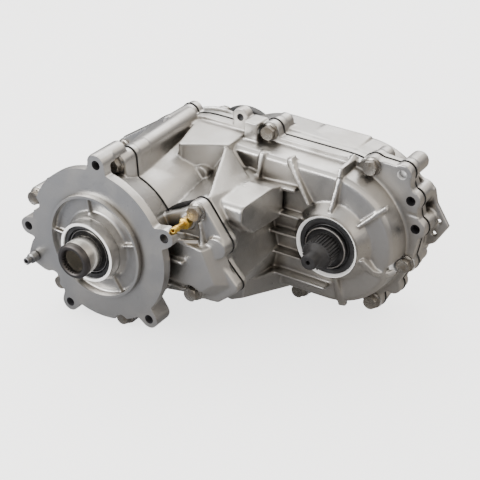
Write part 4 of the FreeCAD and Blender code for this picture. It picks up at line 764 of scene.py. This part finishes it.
def makeBolt(name, x, z, low, high, turn):
    # the head stands towards -Y from its seat at low + head
    head = boltShape["head"]
    seat, corner = low + head, boltShape["flats"] / math.sqrt(3)
    bpy.ops.mesh.primitive_cylinder_add(vertices=6, radius=corner * mm, depth=(head - 1) * mm,
                                        rotation=(math.pi / 2, turn, 0),
                                        location=(x * mm, (low + (head - 1) / 2) * mm, z * mm))
    hexagon = settle(bpy.context.object)
    crown = lyingRod(corner - 1.1, low, seat, x, z, 48, corner + 4.1)
    carve(hexagon, crown, "INTERSECT")
    pickFaces(hexagon, lambda centre, normal: normal.y < -0.99)
    bpy.ops.mesh.inset(thickness=boltShape["inset"] * mm)
    bpy.ops.transform.translate(value=(0, boltShape["dish"] * mm, 0))
    closeEdit()
    rim = boltShape["flange"]
    flange = turned("flange", [
        (0.5, seat - 2.9), (rim - 2.9, seat - 2.9), (rim - 0.7, seat - 1.7), (rim, seat - 1.2),
        (rim, seat - 0.3), (rim - 0.4, seat), (5.0, seat), (5.0, high - 1), (4.0, high),
        (0.5, high)], x, z, 48, False)
    roundEdges(hexagon, boltShape["edge"])
    return joinPieces([hexagon, flange], name)


def makeBoltGroup(name, places, node):
    bolts = []
    for index, (x, z, low, high) in enumerate(places):
        bolts.append(makeBolt(name, x, z, low, high, 0.7 * index))
    group = joinPieces(bolts, name)
    softShade(group, 30)
    standFor(group, "bolt_steel", node)
    print(name, len(group.data.polygons))


makeBoltGroup("adapter_flange_bolts", adapterBolts, "adapter_bolts")
makeBoltGroup("case_flange_bolts", caseBolts, "case_bolts")


# ---- shaft seals: a broad outer band, a groove, a thin bright edge and the lip on the shaft

def brightEdge(piece, inner, outer, station, x=0.0):
    # the second material on the faces of a thin raised edge
    piece.data.materials.append(edgeSteel)
    for face in piece.data.polygons:
        reach = math.hypot(face.center.x - x * mm, face.center.z) / mm
        if inner < reach < outer and face.center.y < station * mm:
            face.material_index = 1


inputSeal = {"outer": 31.0, "face": -15.5, "band": 26.2, "groove": -10.5, "edge": 24.6, "edgeWidth": 0.7,
             "lip": 20.1}


def makeInputSeal():
    seal, high = inputSeal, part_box("input_seal")[1].y / mm
    outer, band, edge, lip = seal["outer"], seal["band"], seal["edge"], seal["lip"]
    low, groove = seal["face"], seal["groove"]
    piece = turned("shaft_seal_input", [
        (outer, low + 0.5), (outer - 0.5, low), (band + 0.5, low), (band, low + 0.5), (band, groove),
        (edge + 0.1, groove), (edge, low + 1.9), (edge - 0.2, low + 1.5),
        (edge - seal["edgeWidth"], low + 1.5), (edge - 1.0, low + 2.2), (edge - 1.3, groove),
        (lip + 0.9, groove + 1.4), (lip, groove + 2.2), (lip, high), (outer, high), (outer, low + 0.5)])
    standFor(piece, "seal_rubber", "input_seal")
    brightEdge(piece, edge - seal["edgeWidth"] - 0.1, edge, low + 1.6)
    softShade(piece, 40)


frontSeal = {"outer": 32.8, "band": 27.4, "groove": 4.0, "edge": 25.0, "lip": 19.0}


def makeFrontSeal():
    low, high = [corner.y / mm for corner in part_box("front_output_seal")]
    outer, band, edge, lip = [frontSeal[name] for name in ("outer", "band", "edge", "lip")]
    bottom = low + frontSeal["groove"]
    piece = turned("shaft_seal_front", [
        (outer, low + 0.6), (outer - 0.6, low), (band + 1.6, low), (band + 1.3, low + 0.3),
        (band + 0.4, low + 0.3), (band, low + 0.7), (band, bottom), (edge + 0.4, bottom),
        (edge, low + 2.6), (edge - 0.8, low + 2.2), (lip + 0.6, low + 4.0), (lip, low + 4.8), (lip, high),
        (outer, high), (outer, low + 0.6)], frontAxis)
    standFor(piece, "seal_rubber", "front_output_seal")
    softShade(piece, 40)


slinger = {"outer": 24.0, "inner": 22.5, "bore": 17.6}


def makeSlinger():
    low, high = [corner.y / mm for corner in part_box("dust_slinger")]
    outer, inner, bore = slinger["outer"], slinger["inner"], slinger["bore"]
    piece = turned("stub_slinger", [
        (outer, low + 0.6), (outer - 0.3, low + 0.1), (inner + 0.4, low), (inner, low + 0.5),
        (inner, high - 1.8), (inner - 0.8, high - 1.2), (bore, high - 1.2), (bore, high),
        (outer - 0.6, high), (outer, high - 0.6), (outer, low + 0.6)], frontAxis)
    standFor(piece, slotOf["dust_slinger"], "dust_slinger")
    piece.data.materials[0] = finishes["phosphated_steel"]
    brightEdge(piece, inner, outer - 0.05, low + 0.5, frontAxis)
    softShade(piece, 40)


makeInputSeal()
makeFrontSeal()
makeSlinger()
print("seals ready")


# ---- squeezed-out sealant: a line round each joint and a thick smear on the lobe's top edge

# the smear's points are X, Z and radius in millimetres
sealantBead = {"line": 0.75, "tailLine": 0.4, "flare": 2.6, "step": 1.6, "flat": (1, 0.55, 0.7),
               "smear": ((59, 39, 1.4), (66, 43.5, 3.0), (73, 48, 3.8), (80, 52.3, 3.6), (86, 56, 2.6),
                         (93, 60.5, 1.8), (101, 65.5, 1.2))}


def makeBead(node, grow):
    # the joint's film is drawn outwards and flares over both rims
    piece = copyNode(node, node + "_bead")
    middle = (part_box(node)[0].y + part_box(node)[1].y) / 2
    pickFaces(piece, lambda centre, normal: abs(normal.y) < 0.5)
    bpy.ops.mesh.extrude_region_shrink_fatten(TRANSFORM_OT_shrink_fatten={"value": grow * mm})
    bpy.ops.transform.resize(value=(1, sealantBead["flare"], 1), center_override=(0, middle, 0))
    closeEdit()
    # wiped off flush at the outermost edges of the case
    carve(piece, boxBetween(*[[place / mm for place in corner] for corner in cadBox]), "INTERSECT")
    softShade(piece, 40)
    standFor(piece, "sealant_black", node)


def makeSmear():
    blobs = []
    line = sealantBead["smear"]
    for start, end in zip(line, line[1:]):
        count = round((end[0] - start[0]) / sealantBead["step"])
        for index in range(count):
            x, z, radius = [a + (b - a) * index / count for a, b in zip(start, end)]
            bpy.ops.mesh.primitive_uv_sphere_add(segments=16, ring_count=10, radius=radius * mm,
                                                 location=(x * mm, planes["caseFront"] * mm, z * mm))
            bpy.context.object.scale = sealantBead["flat"]
            blobs.append(settle(bpy.context.object))
    piece = joinPieces(blobs, "sealant_smear")
    castSkin(piece, 0.5, 3, 0.6)
    softShade(piece, 60)
    piece.data.materials.append(finishes["sealant_black"])
    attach(piece, "housing")


makeBead("housing_sealant", sealantBead["line"])
makeBead("case_sealant", sealantBead["line"])
makeBead("tail_sealant", sealantBead["tailLine"])
makeSmear()
print("sealant ready")


# ---- turned and cut metal pieces keep their CAD shape and get broken edges

brokenEdges = {"vent_fitting": 0.25, "rear_flange": 0.8, "rear_flange_nut": 0.5, "speed_sensor": 0.7,
               "tail_bolts": 0.35, "front_output_shaft": 0.3, "input_shaft": 0.35}


def breakEdges(node, width):
    piece = copyNode(node, node + "_edged")
    openEdit(piece)
    bpy.ops.mesh.select_all(action="SELECT")
    bpy.ops.mesh.dissolve_limited(angle_limit=math.radians(0.6))
    closeEdit()
    roundEdges(piece, width, 35)
    softShade(piece, 35)
    look = frame["nodes"][node].data.materials[0]
    standFor(piece, slotOf[node], node)
    piece.data.materials[0] = look
    print(node, len(piece.data.polygons))


for node, width in brokenEdges.items():
    breakEdges(node, width)


# ---- the stud at the flange's left: a stout collar, a stepped nose and a hollow end

studShape = {"collar": 6.0, "shank": 4.0, "nose": 4.3, "bore": 2.3, "neck": 3.7}


def makeStud():
    low, high = [Vector(corner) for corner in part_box("flange_stud")]
    tip, end = low.y / mm, high.y / mm
    collar, shank, nose = studShape["collar"], studShape["shank"], studShape["nose"]
    bore, neck = studShape["bore"], studShape["neck"]
    piece = turned("stepped_stud", [
        (bore, tip + 6.0), (bore, tip + 0.4), (bore + 0.5, tip), (nose - 0.6, tip), (nose, tip + 0.6),
        (nose, tip + 5.0), (neck, tip + 5.6), (neck, tip + 7.0), (collar - 0.8, tip + 7.6),
        (collar, tip + 8.4), (collar, -1.0), (shank, 0.0), (shank, end), (0.3, end), (0.3, tip + 6.0),
        (bore, tip + 6.0)], (low.x + high.x) / 2 / mm, (low.z + high.z) / 2 / mm, 48)
    standFor(piece, slotOf["flange_stud"], "flange_stud")
    piece.data.materials[0] = finishes["chain_steel"]
    softShade(piece, 40)


makeStud()
print("stud ready")


# ---- studio

# each lamp has its place, size in metres and power
studio = {"floorSize": 40, "paper": tint(0.90, 0.90, 0.90), "glow": 2.0,
          "coolCard": tint(0.150, 0.162, 0.190), "warmCard": tint(0.210, 0.190, 0.165), "cardLift": 0.0002,
          "lamps": {"key": ((-0.7, 0.7, 1.4), 1.0, 7.0), "fill": ((-0.9, -1.3, 0.55), 1.0, 30.0),
                    "rim": ((-0.2, 1.5, 1.1), 1.2, 8.0)},
          "sky": ((0.0, tint(0.15, 0.16, 0.19)), (0.25, tint(0.50, 0.51, 0.55)),
                  (0.5, tint(2.35, 2.28, 2.15)), (0.75, tint(1.6, 1.56, 1.50)),
                  (1.0, tint(0.85, 0.85, 0.85))),
          "sides": ((0.30, tint(1.0, 1.0, 1.0)), (0.72, tint(0.70, 0.665, 0.62)))}


def makeSheet(name, height, front, back, glow):
    # front is the colour towards -X and -Y, and back the colour beyond the object
    bpy.ops.mesh.primitive_plane_add(size=studio["floorSize"], location=(0, 0, height))
    sheet = settle(bpy.context.object)
    sheet.name = name
    paper = Recipe(name)
    soft = paper.noise(6, 2)
    beyond = paper.band(paper.along("X") + paper.along("Y"), -0.4, 0.8)
    colour = paper.blend(beyond, front, back)
    sheet.data.materials.append(paper.finish(Base_Color=colour, Roughness=0.9 + 0.05 * soft,
                                             Emission_Color=tint(1, 1, 1), Emission_Strength=glow))
    return sheet


def makeStudio():
    ground = cadBox[0][2]
    makeSheet("floor", ground, studio["paper"], studio["paper"], studio["glow"])
    # only the metal's reflections see this dark card, which keeps upright faces darker than the floor
    card = makeSheet("darkCard", ground + studio["cardLift"], studio["coolCard"], studio["warmCard"], 0.0)
    card.visible_camera = False
    card.visible_diffuse = False
    card.visible_shadow = False
    middle = Vector(view["target"])
    for name, (place, size, power) in studio["lamps"].items():
        bpy.ops.object.light_add(type="AREA", location=place)
        lamp = bpy.context.object
        lamp.name = name
        lamp.data.size = size
        lamp.data.energy = power
        lamp.rotation_euler = (Vector(place) - middle).to_track_quat("Z", "Y").to_euler()


def makeSky():
    # the sky changes with height, and it is dimmer and warmer towards +X
    world = bpy.data.worlds.new("studioRoom")
    bpy.context.scene.world = world
    world.use_nodes = True
    tree = world.node_tree
    where = tree.nodes.new("ShaderNodeTexCoord")
    parts = tree.nodes.new("ShaderNodeSeparateXYZ")
    tree.links.new(where.outputs["Generated"], parts.inputs[0])
    shifted = tree.nodes.new("ShaderNodeMapRange")
    shifted.inputs["From Min"].default_value = -1
    tree.links.new(parts.outputs[0], shifted.inputs["Value"])
    mixed = tree.nodes.new("ShaderNodeMix")
    mixed.data_type = "RGBA"
    mixed.blend_type = "MULTIPLY"
    mixed.inputs[0].default_value = 1.0
    for name, source, slot in (("sky", parts.outputs[2], 6), ("sides", shifted.outputs["Result"], 7)):
        ramp = tree.nodes.new("ShaderNodeValToRGB")
        stops = ramp.color_ramp.elements
        while len(stops) < len(studio[name]):
            stops.new(0.5)
        for stop, (place, colour) in zip(stops, studio[name]):
            stop.position = place
            stop.color = colour
        tree.links.new(source, ramp.inputs[0])
        tree.links.new(ramp.outputs[0], mixed.inputs[slot])
    tree.links.new(mixed.outputs[2], tree.nodes["Background"].inputs[0])
    tree.nodes["Background"].inputs[1].default_value = 1.0


makeStudio()
makeSky()
print("studio ready")
